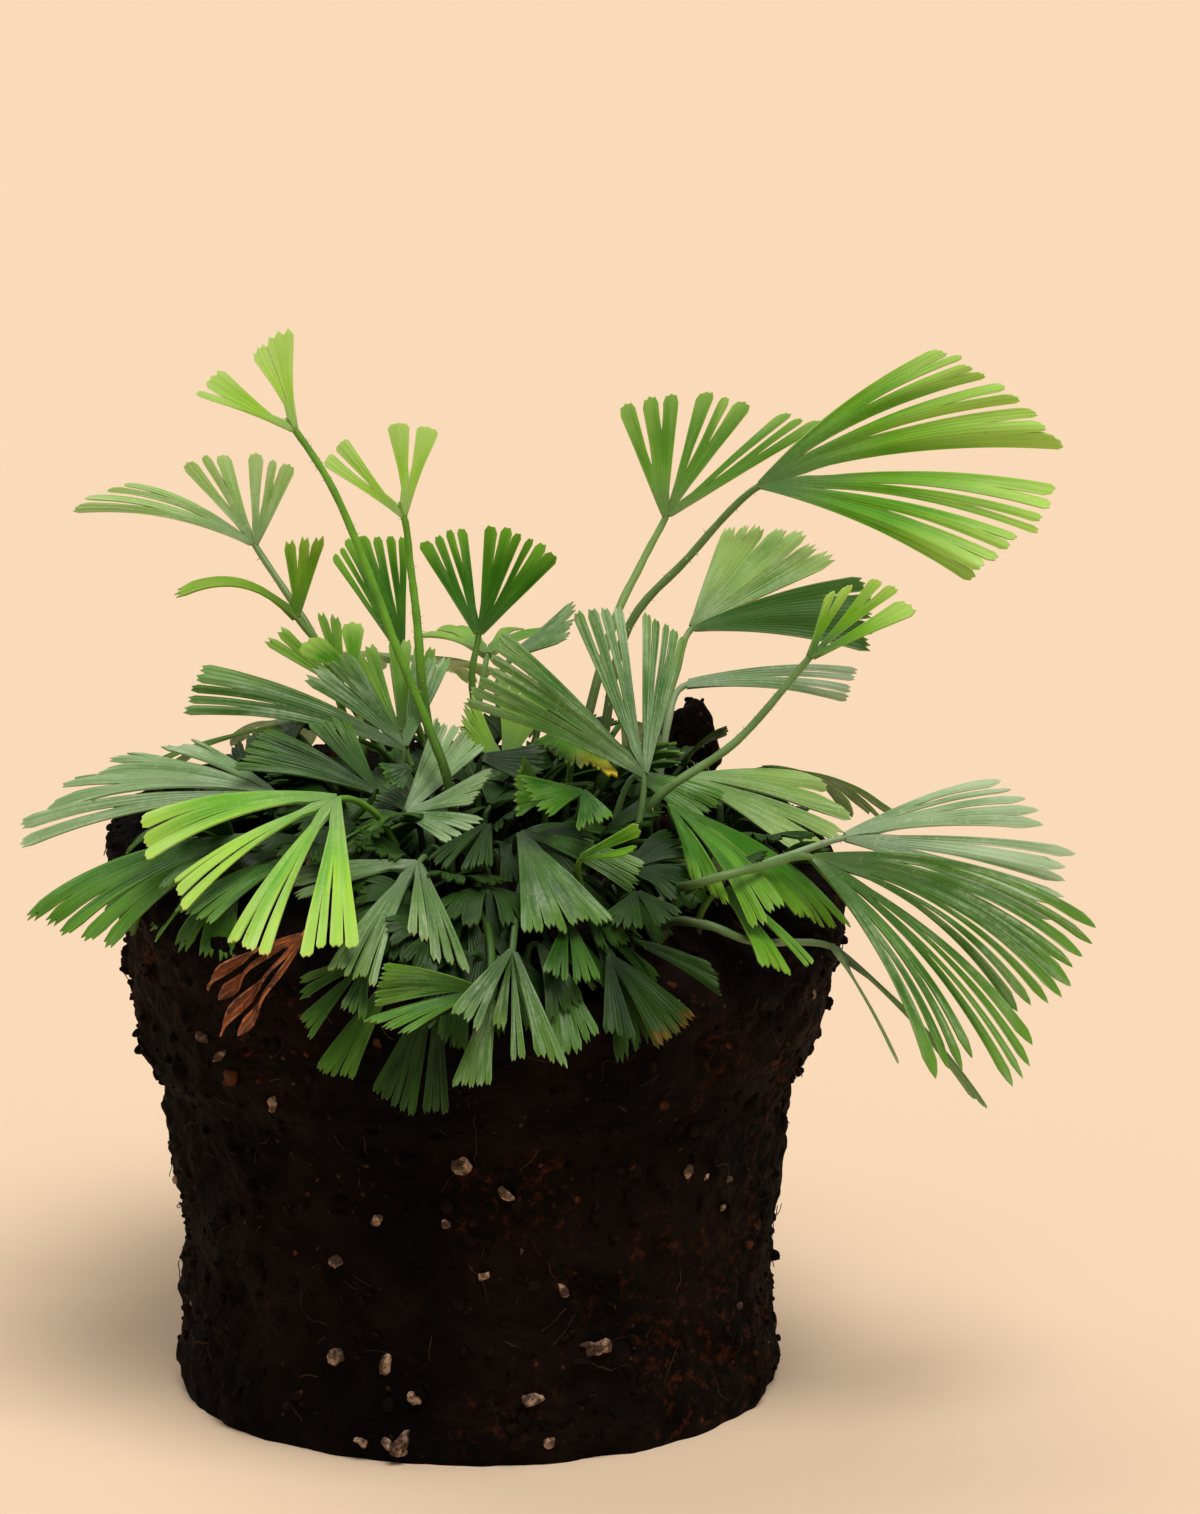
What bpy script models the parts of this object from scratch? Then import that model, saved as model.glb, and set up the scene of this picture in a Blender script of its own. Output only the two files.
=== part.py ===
"""A small fern grown as a plug: a bare, tapered root ball of dark peat with a rosette of fan-shaped fronds.

Lengths are in millimetres until a mesh is made. The origin is the centre of the root ball's flat base, +Z is
up and the plant's best side faces -Y. A frond is a thin stem and a fan of lobes, each lobe cut into narrow
toothed segments by slits of several depths.
"""

import math
from collections import namedtuple

import bmesh
import bpy
import numpy as np
from mathutils import Vector, noise

MM = 0.001
SMOOTH_ANGLE = math.radians(40)

# Root ball: height and radius of each level of its side, before the top's unevenness is added
SIDE_LEVELS = (
    (0.0, 22.7),
    (2.0, 23.1),
    (5.0, 22.5),
    (10.0, 22.4),
    (17.5, 23.0),
    (24.0, 23.8),
    (26.5, 25.5),
    (31.0, 26.4),
    (36.0, 27.0),
    (40.0, 27.8),
    (42.0, 27.6),
)
TOP_RINGS = (26.0, 21.0, 14.0, 7.0)
TOP_HEIGHT = 42.6
TOP_RISE_BACK = 1.5
TOP_RISE_LEFT = 1.2
DIP_START = 14.0
FRONT_DIP = 5.5
BAND_BOTTOM = 26.0
BALL_SIDES = 36
ROUGHNESS = 0.55

# A lump on the back of the rim, fused to the root ball
LUMP_CENTRE = (16.3, 21.0, 45.4)
LUMP_RADII = (2.4, 2.3, 3.1)
LUMP_ROUGHNESS = 0.45

# Stem holes and stems
HOLE_DEPTH = 3.2
HOLE_RADIUS = 1.05
HOLE_SIDES = 6
STEM_WIDTH = 0.98
STEM_TOP_WIDTH = 0.7
STEM_IN_HOLE = 2.8
STEM_UPRIGHT = 0.7

# Blades
BLADE_THICK = 0.62
BASE_HALF_WIDTH = 0.35
SHORT_LOBE = 11
LONG_ROWS = (0.13, 0.36, 0.6, 0.8, 0.92)
SHORT_ROWS = (0.13, 0.42, 0.7, 0.92)
SLIT_OPENING = (0.29, 0.21, 0.14, 0.1)
TOOTH_INSET = 0.24

# Colours as linear values, one for each age of frond and for the soil
TONES = {
    "lime": (0.22, 0.46, 0.045),
    "bright": (0.10, 0.33, 0.05),
    "green": (0.07, 0.23, 0.06),
    "olive": (0.13, 0.26, 0.05),
    "yellow": (0.10, 0.24, 0.05),
    "grey": (0.11, 0.24, 0.13),
    "dark": (0.035, 0.13, 0.045),
    "dead": (0.20, 0.075, 0.03),
}
SOIL_COLOUR = (0.012, 0.008, 0.006)

# A frond: where its stem leaves the soil (x, y), points that the stem passes, the fork where its fan begins,
# and its lobes in order round the fan. A lobe is its first outer tip, its last outer tip, its number of
# segments, its arch as a share of its length and, where it isn't the first, the row where its slits begin.
Frond = namedtuple("Frond", "name tone root bends fork lobes")

FRONDS = [
    Frond(
        "tall_left", "lime", (-1.5, -7),
        [(-2, -7, 48), (-3.5, -5.5, 52), (-6, -4, 58), (-7.5, -3, 62), (-10.5, -1.5, 69)],
        (-13.5, 0, 73.5),
        [
            ((-21, 0, 76.5), (-19.5, 0.5, 78), 2, 0, 3),
            ((-16.5, 1, 79.5), (-14, 1, 81), 2, 0, 3),
        ],
    ),
    Frond(
        "tall_mid", "lime", (-2.5, -0.5),
        [(-4, 0.5, 53), (-4.5, 2, 58.5), (-5, 3, 62.5)],
        (-5.5, 3, 66.5),
        [
            ((-11.5, 3, 70.5), (-10, 3, 72.5), 2, 0),
            ((-6.5, 3.5, 73.5), (-3, 3.5, 73), 2, 0),
        ],
    ),
    Frond(
        "back_left_high", "dark", (-6, 9),
        [(-11.5, 10, 53.5), (-13.5, 13, 56.5)],
        (-17.5, 16, 62),
        [
            ((-32.5, 17, 64), (-27.5, 18, 66.5), 4, 0.08),
            ((-23.5, 18, 68), (-19.5, 18, 69), 3, 0),
            ((-18, 17.5, 69), (-14, 17, 68), 3, 0),
        ],
    ),
    Frond(
        "back_left_olive", "olive", (-8.5, 4.5),
        [(-11.5, 7.5, 54)],
        (-14, 9.5, 57.5),
        [
            ((-23.5, 7, 59), (-23, 8, 60), 1, 0.2),
            ((-15, 10, 63.5), (-11.5, 10, 64), 3, 0),
        ],
    ),
    Frond(
        "lime_small_left", "lime", (-6, 1.5),
        [(-8, 2.5, 51)],
        (-9.5, 3.5, 54.5),
        [
            ((-14, 3, 56), (-12, 3.5, 57.5), 1, 0),
            ((-10.5, 4.5, 58), (-8.5, 4.5, 58), 1, 0),
        ],
    ),
    Frond(
        "dark_behind_lime", "dark", (-8.5, 1.5),
        [(-9, 5, 50.5)],
        (-10.5, 6, 53),
        [
            ((-16.5, 6.5, 56), (-15, 7, 57.5), 2, 0),
            ((-12.5, 7.5, 58.5), (-10.5, 7.5, 58), 2, 0),
        ],
    ),
    Frond(
        "back_mid_left", "dark", (-2.5, 6),
        [(-5.5, 8, 51.5)],
        (-6, 9.5, 55),
        [
            ((-11.5, 11, 62), (-10, 12, 63.5), 3, 0),
            ((-9.5, 12, 63.5), (-5.5, 12, 63.5), 4, 0),
        ],
    ),
    Frond(
        "back_mid", "dark", (1, 8),
        [(-0.5, 9, 52)],
        (0, 10.5, 56),
        [
            ((-5, 12, 63), (-1, 13, 64), 4, 0),
            ((0.5, 12, 64.5), (6.5, 11, 62), 6, 0),
        ],
    ),
    Frond(
        "back_mid_low", "grey", (4, 6),
        [(1.5, 7, 51.5)],
        (3, 8, 55),
        [
            ((7.5, 9.5, 59), (7, 7.5, 56), 3, 0),
        ],
    ),
    Frond(
        "centre_fan", "grey", (11.5, -8.5),
        [(12, -9.5, 44.5)],
        (12.5, -8, 49),
        [
            ((-1, -12, 55), (2, -10.5, 60.5), 7, 0.03),
            ((7, -1, 60), (11, 0, 60.5), 4, 0),
            ((12.5, 1, 60), (16, 1, 58), 5, 0),
        ],
    ),
    Frond(
        "right_bright", "bright", (9, 3),
        [(11, 7, 56), (16, 7, 62.5)],
        (21.5, 5, 68.5),
        [
            ((35.5, 4, 79.5), (45.5, 2, 71.5), 9, 0.06),
            ((44.5, 1, 69), (38.5, -1, 61), 9, 0.05),
        ],
    ),
    Frond(
        "back_right_high", "dark", (7, 8),
        [(10, 14, 55), (12.5, 18, 60)],
        (14.5, 20, 63.5),
        [
            ((10.5, 22, 72), (15.5, 23, 73), 3, 0),
            ((17, 23, 73), (21.5, 23, 72), 3, 0),
            ((23.5, 22, 71.5), (27.5, 21, 71), 3, 0),
        ],
    ),
    Frond(
        "back_right_pale", "grey", (12, 7),
        [(15, 10, 52.5)],
        (16.5, 13, 56),
        [
            ((19, 17, 63.5), (28.5, 15, 61), 7, 0),
            ((30, 13, 60), (31.5, 10, 54), 5, 0.05),
        ],
    ),
    Frond(
        "right_grey_low", "grey", (13.5, 3.5),
        [(14.5, 6, 50)],
        (16, 8, 52.5),
        [
            ((29.5, 9, 53.5), (29, 7.5, 51), 4, 0.05),
        ],
    ),
    Frond(
        "right_lime", "lime", (13, -6),
        [(13.5, -8, 47), (19.5, -6, 51)],
        (25, -4, 57),
        [
            ((26.5, -4, 62), (28, -3.5, 62.5), 2, 0),
            ((30, -4, 63), (31.5, -4.5, 62.5), 2, 0),
            ((32, -5, 61.5), (33, -6, 61), 1, 0),
        ],
    ),
    Frond(
        "right_mid", "green", (15.5, 0),
        [],
        (16, -1, 47),
        [
            ((26, 4, 46), (29, 2, 42.5), 6, 0.05),
            ((28.5, 1, 42), (24.5, -2, 41), 3, 0.05),
        ],
    ),
    Frond(
        "right_silver", "grey", (14.5, -11),
        [(16, -15, 43.5), (20.5, -15, 43.5)],
        (27.5, -12, 45),
        [
            ((39.5, -4, 47.5), (43, -6, 44.5), 5, 0.04),
            ((45.5, -7.5, 42.5), (43.5, -10, 38), 6, 0.03),
        ],
    ),
    Frond(
        "right_green_low", "green", (14.5, -13.5),
        [(16.5, -20.5, 43.5), (21, -19.5, 44.5)],
        (25, -14.5, 44),
        [
            ((46.5, -12, 37.5), (45, -13, 33), 5, 0.1),
            ((43.5, -14, 33), (40.5, -15, 32), 4, 0.12),
            ((42, -16, 29), (40, -17, 26.5), 4, 0.1),
            ((37, -18.5, 29), (34, -20, 28), 4, 0.12),
        ],
    ),
    Frond(
        "right_low", "bright", (14, -17.5),
        [(17, -21, 40.5), (20.5, -20, 39)],
        (26.5, -13.5, 37),
        [
            ((38.5, -12, 24), (37, -13, 25), 2, 0.06),
            ((31.5, -16, 28.5), (31, -17, 29.5), 1, 0.05),
        ],
    ),
    Frond(
        "right_front", "bright", (16, -6),
        [],
        (14.5, -11, 47),
        [
            ((28, -10, 37), (24, -15, 39), 5, 0.12),
            ((23, -21.5, 41.5), (20.5, -22.5, 40.5), 4, 0.08),
            ((19, -21, 41.5), (16, -17.5, 43), 4, 0.08),
        ],
    ),
    Frond(
        "right_front_low", "bright", (16.5, -15.5),
        [],
        (18.5, -16.5, 42),
        [
            ((25, -20.5, 37.5), (24.5, -21, 37), 2, 0.05),
            ((23.5, -23, 37), (21, -24.5, 38), 3, 0.05),
        ],
    ),
    Frond(
        "front_left_lime", "lime", (-6, -9),
        [(-6, -9.5, 44), (-7.5, -12, 47)],
        (-10, -15, 48.5),
        [
            ((-8, -30, 40.5), (-12, -30.5, 40), 4, 0.04),
            ((-14.5, -29, 40), (-17.5, -27.5, 40.5), 3, 0.06),
            ((-21, -23, 42), (-22, -21, 43.5), 3, 0.06),
            ((-24, -19, 44.5), (-24.5, -16, 47), 3, 0.08),
        ],
    ),
    Frond(
        "left_dark_under", "dark", (-10.5, -11),
        [],
        (-12.5, -15, 44.5),
        [
            ((-19, -22, 40.5), (-22, -21.5, 41.5), 4, 0.06),
        ],
    ),
    Frond(
        "left_far", "grey", (-12.5, -3),
        [],
        (-15, -7, 47),
        [
            ((-34, -9, 43.5), (-34.5, -8, 45), 2, 0.06),
            ((-33, -6, 45.5), (-26.5, -3, 48.5), 6, 0.08),
            ((-24, -1, 49.5), (-21.5, 0, 49.5), 3, 0.05),
        ],
    ),
    Frond(
        "left_low", "green", (-13, -9),
        [],
        (-15.5, -12, 45),
        [
            ((-27.5, -18, 37.5), (-33, -15, 39.5), 5, 0.1),
        ],
    ),
    Frond(
        "left_long", "grey", (-7, -1.5),
        [],
        (-5.5, -1, 49.5),
        [
            ((-22.5, -0.5, 52), (-21.5, 0.5, 55.5), 5, 0.06),
            ((-13.5, 0.5, 54.5), (-10, 1.5, 56.5), 4, 0.04),
            ((-4.8, 6, 55.5), (-2, 6, 55), 3, 0),
        ],
    ),
    Frond(
        "left_dark", "dark", (-10.5, -6.5),
        [],
        (-7.5, -7.5, 47.5),
        [
            ((-18.5, -7.5, 49), (-16, -5, 52), 6, 0.05),
            ((-13, -3, 52), (-9.5, -2.5, 52), 4, 0),
        ],
    ),
    Frond(
        "left_deep", "dark", (-4, 3.6),
        [],
        (-6, 5, 49.5),
        [
            ((-10.5, 7.5, 54), (-8, 8.5, 56), 3, 0),
            ((-7, 8.5, 56.5), (-3, 8, 55.5), 4, 0),
        ],
    ),
    Frond(
        "middle_deep", "dark", (5, -6.2),
        [],
        (5, -7.5, 47),
        [
            ((3, -11, 46), (3.5, -8, 50.5), 5, 0.03),
        ],
    ),
    Frond(
        "right_deep", "grey", (10, -5.5),
        [],
        (12, -4, 48),
        [
            ((19, -3.5, 46.5), (16.5, -4.8, 44), 5, 0.04),
        ],
    ),
    Frond(
        "centre_silver", "grey", (-5.5, -6),
        [],
        (-5, -8.5, 46),
        [
            ((-2, -13, 44.5), (1, -12, 46.5), 4, 0.03),
            ((0, -11.5, 47.5), (1.5, -9, 50), 5, 0),
            ((1, 0, 49.5), (-3, 0, 52), 6, 0),
        ],
    ),
    Frond(
        "small_dark", "dark", (-3, -4),
        [],
        (-5, -4, 48.5),
        [
            ((-5.5, -5.5, 47), (-7.5, -4.5, 49), 4, 0),
        ],
    ),
    Frond(
        "centre_green", "green", (7, -9.5),
        [],
        (8, -13, 48.5),
        [
            ((10.5, -17, 47.5), (7.5, -18, 46.5), 4, 0.03),
            ((5.5, -17.5, 47.5), (2.5, -16, 50.5), 5, 0.03),
        ],
    ),
    Frond(
        "centre_yellow_tip", "yellow", (6.5, -3),
        [],
        (7.5, -1.5, 51.5),
        [
            ((11, -9.5, 48.5), (4, -7.5, 51), 7, 0),
        ],
    ),
    Frond(
        "lime_bud", "lime", (8, -16.5),
        [],
        (8, -19, 45),
        [
            ((12, -20, 48), (12.5, -20, 47), 1, 0),
            ((12.5, -20.5, 46.5), (11, -20.5, 45.5), 1, 0),
        ],
    ),
    Frond(
        "centre_dark", "grey", (3, -10),
        [],
        (3.5, -13.5, 45.5),
        [
            ((13, -17, 44), (12, -18, 42), 4, 0.04),
            ((10.5, -25, 41), (4, -26.5, 40.5), 8, 0.04),
        ],
    ),
    Frond(
        "left_front_silver", "grey", (-3.5, -11.5),
        [],
        (-4, -19, 44.5),
        [
            ((0, -28.5, 38.5), (-2.5, -28.5, 39.5), 3, 0.05),
            ((-3, -27, 40.5), (-4.5, -27, 41), 2, 0.05),
            ((-7, -30, 38), (-10.5, -29, 38.5), 6, 0.06),
            ((-13, -20, 42), (-14, -17, 43.5), 3, 0.04),
        ],
    ),
    Frond(
        "front_left_green", "green", (0, -14.5),
        [(1.5, -26, 39.5)],
        (0.5, -28.5, 37.5),
        [
            ((-4.5, -32, 35), (-8, -32, 36), 3, 0.03),
            ((-7, -32, 37), (-6.5, -32, 40.5), 5, 0.03),
        ],
    ),
    Frond(
        "front_mid", "grey", (3.5, -15.5),
        [],
        (3, -27.5, 40),
        [
            ((7, -32.5, 32.5), (5, -33, 33.5), 3, 0.04),
            ((4, -32, 33), (3, -32, 33), 2, 0.04),
            ((2.5, -30, 34.5), (1.5, -30, 35), 1, 0.04),
            ((0.5, -33, 35.5), (-1.5, -32.5, 36.5), 3, 0.04),
        ],
    ),
    Frond(
        "front_low_silver", "grey", (2.5, -21),
        [],
        (1.5, -28, 36.5),
        [
            ((1.5, -31, 31), (-1.5, -31, 30.5), 5, 0.04),
        ],
    ),
    Frond(
        "front_low_dark", "dark", (-2, -19.5),
        [],
        (-2.5, -28, 37.5),
        [
            ((-1.5, -29.5, 28.5), (-3.5, -29.5, 28), 3, 0.02),
            ((-4, -29.5, 28), (-7.5, -29, 29.5), 5, 0.02),
        ],
    ),
    Frond(
        "front_low_left", "dark", (-5.5, -19),
        [],
        (-6, -27, 37.5),
        [
            ((-8.5, -28, 30.5), (-11.5, -27, 31), 5, 0.03),
        ],
    ),
    Frond(
        "front_far_left", "dark", (-9, -17),
        [],
        (-7.5, -26.5, 39),
        [
            ((-7.5, -28.5, 35), (-9.5, -28.5, 36), 3, 0.03),
            ((-11.5, -28, 33.5), (-12.5, -27.5, 35), 3, 0.03),
            ((-12.5, -27, 36), (-12.5, -26.5, 38), 2, 0.03),
        ],
    ),
    Frond(
        "front_right_silver", "grey", (4.5, -18.5),
        [],
        (6, -25, 38.5),
        [
            ((9.5, -28.5, 34), (5.5, -29.5, 32), 5, 0.04),
        ],
    ),
    Frond(
        "front_right_green", "green", (6.5, -14),
        [],
        (7, -23, 41),
        [
            ((9.5, -28, 38), (7.5, -28.5, 37.5), 3, 0.03),
            ((7, -28.5, 38), (5, -28.5, 38.5), 3, 0.03),
        ],
    ),
    Frond(
        "front_right_orange", "yellow", (9, -19.5),
        [],
        (10, -25, 39),
        [
            ((16.5, -27, 35), (13.5, -27.5, 32.5), 5, 0.03),
            ((12, -28, 33.5), (9.5, -28.5, 34), 3, 0.03),
        ],
    ),
    Frond(
        "front_right_dark", "dark", (11.5, -20.5),
        [],
        (12.5, -23, 39.5),
        [
            ((17.5, -25, 38.5), (18.5, -26, 36), 5, 0.03),
        ],
    ),
    Frond(
        "dead_left", "dead", (-11, -18.5),
        [],
        (-12, -26.5, 41),
        [
            ((-16.5, -27.5, 33.5), (-19, -26.5, 33.5), 2, 0.03),
            ((-18, -25.5, 35.5), (-20, -24, 36.5), 2, 0.08),
        ],
    ),
    Frond(
        "filler_front", "dark", (-0.5, -10.5),
        [],
        (1, -13.2, 46),
        [
            ((1.5, -19.5, 44.5), (-1, -20, 44), 4, 0.05),
            ((-2, -19.5, 44), (-3.5, -17.5, 44.5), 3, 0.05),
        ],
    ),
    Frond(
        "filler_right", "dark", (10.5, -17.5),
        [],
        (12, -20, 42.5),
        [
            ((15.5, -21.5, 41.5), (13.5, -23, 40.5), 3, 0.04),
            ((12.5, -23.5, 40.5), (9, -23, 41), 4, 0.05),
        ],
    ),
    Frond(
        "filler_back", "dark", (1, 2.5),
        [],
        (2, 2.5, 47.5),
        [
            ((-1.5, 2, 50), (-0.5, 4, 53), 4, 0),
            ((1.5, 5, 54.5), (6.5, 4.5, 53), 5, 0),
        ],
    ),
    Frond(
        "filler_mid_left", "dark", (0.2, -1),
        [],
        (0.5, -0.5, 48.5),
        [
            ((4.5, -2, 46.5), (5.5, 0.5, 49.5), 4, 0),
        ],
    ),
    Frond(
        "right_shadow", "dark", (11, -11.5),
        [],
        (12.5, -12, 43.5),
        [
            ((16.5, -11, 45), (16, -12.5, 43), 5, 0.04),
        ],
    ),
    Frond(
        "rear_left", "green", (-11, 8),
        [],
        (-15, 16, 47.5),
        [
            ((-29, 17, 42), (-25, 26, 41), 4, 0.08),
            ((-21, 30, 42.5), (-13, 34, 42), 4, 0.08),
        ],
    ),
    Frond(
        "rear_mid_left", "grey", (-5.5, 12.5),
        [],
        (-7, 20, 52),
        [
            ((-15, 33, 49), (-8, 37, 48), 4, 0.05),
            ((-5, 38, 47), (2, 36, 47), 4, 0.05),
        ],
    ),
    Frond(
        "rear_mid", "dark", (-1, 12),
        [],
        (0.5, 17, 53),
        [
            ((-6, 29, 52), (-1, 33, 52), 3, 0.05),
            ((2, 33, 52), (7, 30, 52), 3, 0.05),
        ],
    ),
    Frond(
        "rear_mid_right", "dark", (3.5, 12.5),
        [],
        (5, 20, 48.5),
        [
            ((-1, 37, 42), (8, 37, 42), 5, 0.1),
        ],
    ),
    Frond(
        "rear_right", "green", (8.5, 12.5),
        [],
        (11, 20, 47),
        [
            ((11, 36.5, 38.5), (19, 33, 38.5), 4, 0.1),
        ],
    ),
    Frond(
        "rear_far_right", "green", (16, 6.5),
        [],
        (22, 12, 45),
        [
            ((29, 24, 38.5), (33.5, 16, 39.5), 5, 0.1),
        ],
    ),
]



def unit(vector):
    return vector / np.linalg.norm(vector)


def top_height(x, y):
    """Height of the soil's top before its fine roughness."""
    radius = SIDE_LEVELS[-1][1]
    outward = max(0.0, (math.hypot(x, y) - DIP_START) / (radius - DIP_START))
    forward = max(0.0, min(1.0, (0.35 * x - 0.85 * y) / radius + 0.12))
    dip = FRONT_DIP * outward**1.5 * forward
    return TOP_HEIGHT + TOP_RISE_BACK * y / radius - TOP_RISE_LEFT * x / radius - dip


def rough(point, size, amount):
    """A smooth, repeatable bump of up to about the given amount."""
    return amount * noise.noise(Vector(point) / size)


def slerp(first, last, share):
    """Turns and stretches one vector evenly into another."""
    a, b = unit(first), unit(last)
    angle = math.acos(max(-1.0, min(1.0, float(a @ b))))
    length = (1 - share) * np.linalg.norm(first) + share * np.linalg.norm(last)
    if angle < 1e-4:
        return a * length
    return length * (math.sin((1 - share) * angle) * a + math.sin(share * angle) * b) / math.sin(angle)


class Lobe:
    """One lobe of a fan as a surface: across it runs 0 to 1, and along it 0 at the fork to 1 at the tips."""

    def __init__(self, fork, first, last, segments, arch, first_slit=1):
        self.fork = np.array(fork, float)
        self.first = np.array(first, float) - self.fork
        self.last = np.array(last, float) - self.fork
        self.segments = segments
        self.arch = arch
        self.first_slit = first_slit
        self.rows = LONG_ROWS if np.linalg.norm(self.first + self.last) > 2 * SHORT_LOBE else SHORT_ROWS
        self.middle = unit(unit(self.first) + unit(self.last))
        self.side = unit(self.last - self.first)
        up = np.array((0.0, 0.0, 1.0))
        self.lift = up - self.middle * (up @ self.middle)
        self.first_flare = self.last_flare = 0.0

    def point(self, across, along):
        reach = slerp(self.first, self.last, across)
        bow = self.arch * np.linalg.norm(reach) * 4 * along * (1 - along)
        flare = across * self.last_flare - (1 - across) * self.first_flare
        return self.fork + reach * along + self.lift * bow + self.side * flare * (1 - along)


def slit_rows(segments, first_row, rows):
    """Each slit's first row and level: the lobe parts in halves first, then those in theirs."""
    found = {}

    def halve(low, high, level):
        if high - low < 2:
            return
        middle = (low + high) // 2
        found[middle] = level
        halve(low, middle, level + 1)
        halve(middle, high, level + 1)

    halve(0, segments, 0)
    last_row = len(rows) - 2
    last_level = len(SLIT_OPENING) - 1
    return {cut: (min(level + first_row, last_row), min(level, last_level)) for cut, level in found.items()}


class Sheet:
    """A thin body grown from a middle surface: points, each with its normal's length, and triangles."""

    def __init__(self):
        self.points = []
        self.given = []
        self.halves = []
        self.triangles = []

    def add(self, point, half, normal=None):
        self.points.append(np.array(point, float))
        self.halves.append(half)
        self.given.append(normal)
        return len(self.points) - 1

    def bridge(self, lower, upper):
        """Triangles between two rows of points, which may differ in number."""
        i = j = 0
        while i < len(lower) - 1 or j < len(upper) - 1:
            step_lower = (i + 1) / max(1, len(lower) - 1) if i < len(lower) - 1 else 2.0
            step_upper = (j + 1) / max(1, len(upper) - 1) if j < len(upper) - 1 else 2.0
            if step_upper <= step_lower:
                self.triangles.append((lower[i], upper[j + 1], upper[j]))
                j += 1
            else:
                self.triangles.append((lower[i], lower[i + 1], upper[j]))
                i += 1

    def normals(self):
        sums = np.zeros((len(self.points), 3))
        for a, b, c in self.triangles:
            normal = np.cross(self.points[b] - self.points[a], self.points[c] - self.points[a])
            for corner in (a, b, c):
                sums[corner] += normal
        return [unit(total) if given is None else given for total, given in zip(sums, self.given)]

    def body(self):
        """Vertices and faces of the closed body: the sheet's two faces and a wall along its rim."""
        shift = len(self.points)
        normals = self.normals()
        front = [p + n * h for p, n, h in zip(self.points, normals, self.halves)]
        back = [p - n * h for p, n, h in zip(self.points, normals, self.halves)]
        faces = list(self.triangles) + [(c + shift, b + shift, a + shift) for a, b, c in self.triangles]
        edges = {}
        for a, b, c in self.triangles:
            for edge in ((a, b), (b, c), (c, a)):
                edges[edge] = True
        for a, b in edges:
            if (b, a) not in edges:
                faces.append((b, a, a + shift))
                faces.append((b, a + shift, b + shift))
        return front + back, faces


def smooth_path(points, steps):
    """Points along a smooth curve through the given ones, from the second to the last but one."""
    path = []
    for i in range(1, len(points) - 2):
        before, start, end, after = points[i - 1 : i + 3]
        for k in range(steps):
            t = k / steps
            path.append(
                0.5
                * (
                    2 * start
                    + (end - before) * t
                    + (2 * before - 5 * start + 4 * end - after) * t * t
                    + (3 * start - before - 3 * end + after) * t**3
                )
            )
    path.append(points[-2])
    return path


def add_stem(sheet, frond, lobes):
    """Adds the stem's sections to the sheet and gives back the last one, at the fork."""
    x, y = frond.root
    ground = top_height(x, y)
    fork = np.array(frond.fork, float)
    aim = unit(sum(lobe.middle for lobe in lobes))
    across = unit(lobes[-1].last) - unit(lobes[0].first)
    side = unit(across - aim * (across @ aim))
    start = np.array((x, y, ground + STEM_UPRIGHT))
    bends = [np.array(bend, float) for bend in frond.bends]
    guide = [start - (0, 0, 5), start, *bends, fork, fork + aim * 5]
    path = [start - (0, 0, STEM_IN_HOLE + STEM_UPRIGHT), *smooth_path(guide, 2 if bends else 3)]
    directions = [unit(path[min(i + 1, len(path) - 1)] - path[max(i - 1, 0)]) for i in range(len(path))]
    directions[0] = np.array((0.0, 0.0, 1.0))
    directions[-1] = unit(directions[-1] + aim)
    sides = [side]
    for direction in reversed(directions[:-1]):
        side = unit(sides[0] - direction * (sides[0] @ direction))
        sides.insert(0, side)
    rows = []
    for i, (point, direction, side) in enumerate(zip(path, directions, sides)):
        normal = unit(np.cross(side, direction))
        width = STEM_WIDTH + (STEM_TOP_WIDTH - STEM_WIDTH) * i / (len(path) - 1)
        rows.append([sheet.add(point + side * k * width / 2, 0.45 * width, normal) for k in (-1, 1)])
    for lower, upper in zip(rows, rows[1:]):
        sheet.bridge(lower, upper)
    return rows[-1]


def add_lobe(sheet, lobe, left, right, teeth):
    """Adds one lobe above its first row's two points: strips that part at each slit, then toothed tips."""
    half = BLADE_THICK / 2
    rows = lobe.rows
    cuts = slit_rows(lobe.segments, lobe.first_slit, rows)

    def opening(cut, along):
        if cut not in cuts:
            return 0.0
        row, level = cuts[cut]
        start = rows[row]
        return SLIT_OPENING[level] * max(0.0, along - start) / (1 - start) / lobe.segments

    def edges(low, high, along):
        return low / lobe.segments + opening(low, along), high / lobe.segments - opening(high, along)

    strips = [(0, lobe.segments, left, right)]
    for row in range(1, len(rows)):
        along = rows[row]
        tips = row == len(rows) - 1
        parted = []
        for low, high, lower_left, lower_right in strips:
            a, b = edges(low, high, along)
            inner = [cut for cut in range(low + 1, high) if cuts[cut][0] == row]
            upper = [sheet.add(lobe.point(a, along), half)]
            upper += [sheet.add(lobe.point(cut / lobe.segments, along), half) for cut in inner]
            if tips and teeth == 2:
                upper.append(sheet.add(lobe.point((a + b) / 2, along + 0.015), half))
            upper.append(sheet.add(lobe.point(b, along), half))
            sheet.bridge([lower_left, lower_right], upper)
            if tips:
                places = (TOOTH_INSET, 1 - TOOTH_INSET) if teeth == 2 else (0.5,)
                for i, place in enumerate(places):
                    longer = 1 + 0.035 * math.sin(5.1 * low + 2.3 * i + lobe.first[0])
                    tip = sheet.add(lobe.point(a + place * (b - a), longer), half)
                    sheet.triangles.append((upper[i], upper[i + 1], tip))
            marks = [low, *inner, high]
            for i in range(len(marks) - 1):
                parted.append((marks[i], marks[i + 1], upper[i], upper[i + 1]))
        strips = parted


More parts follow.
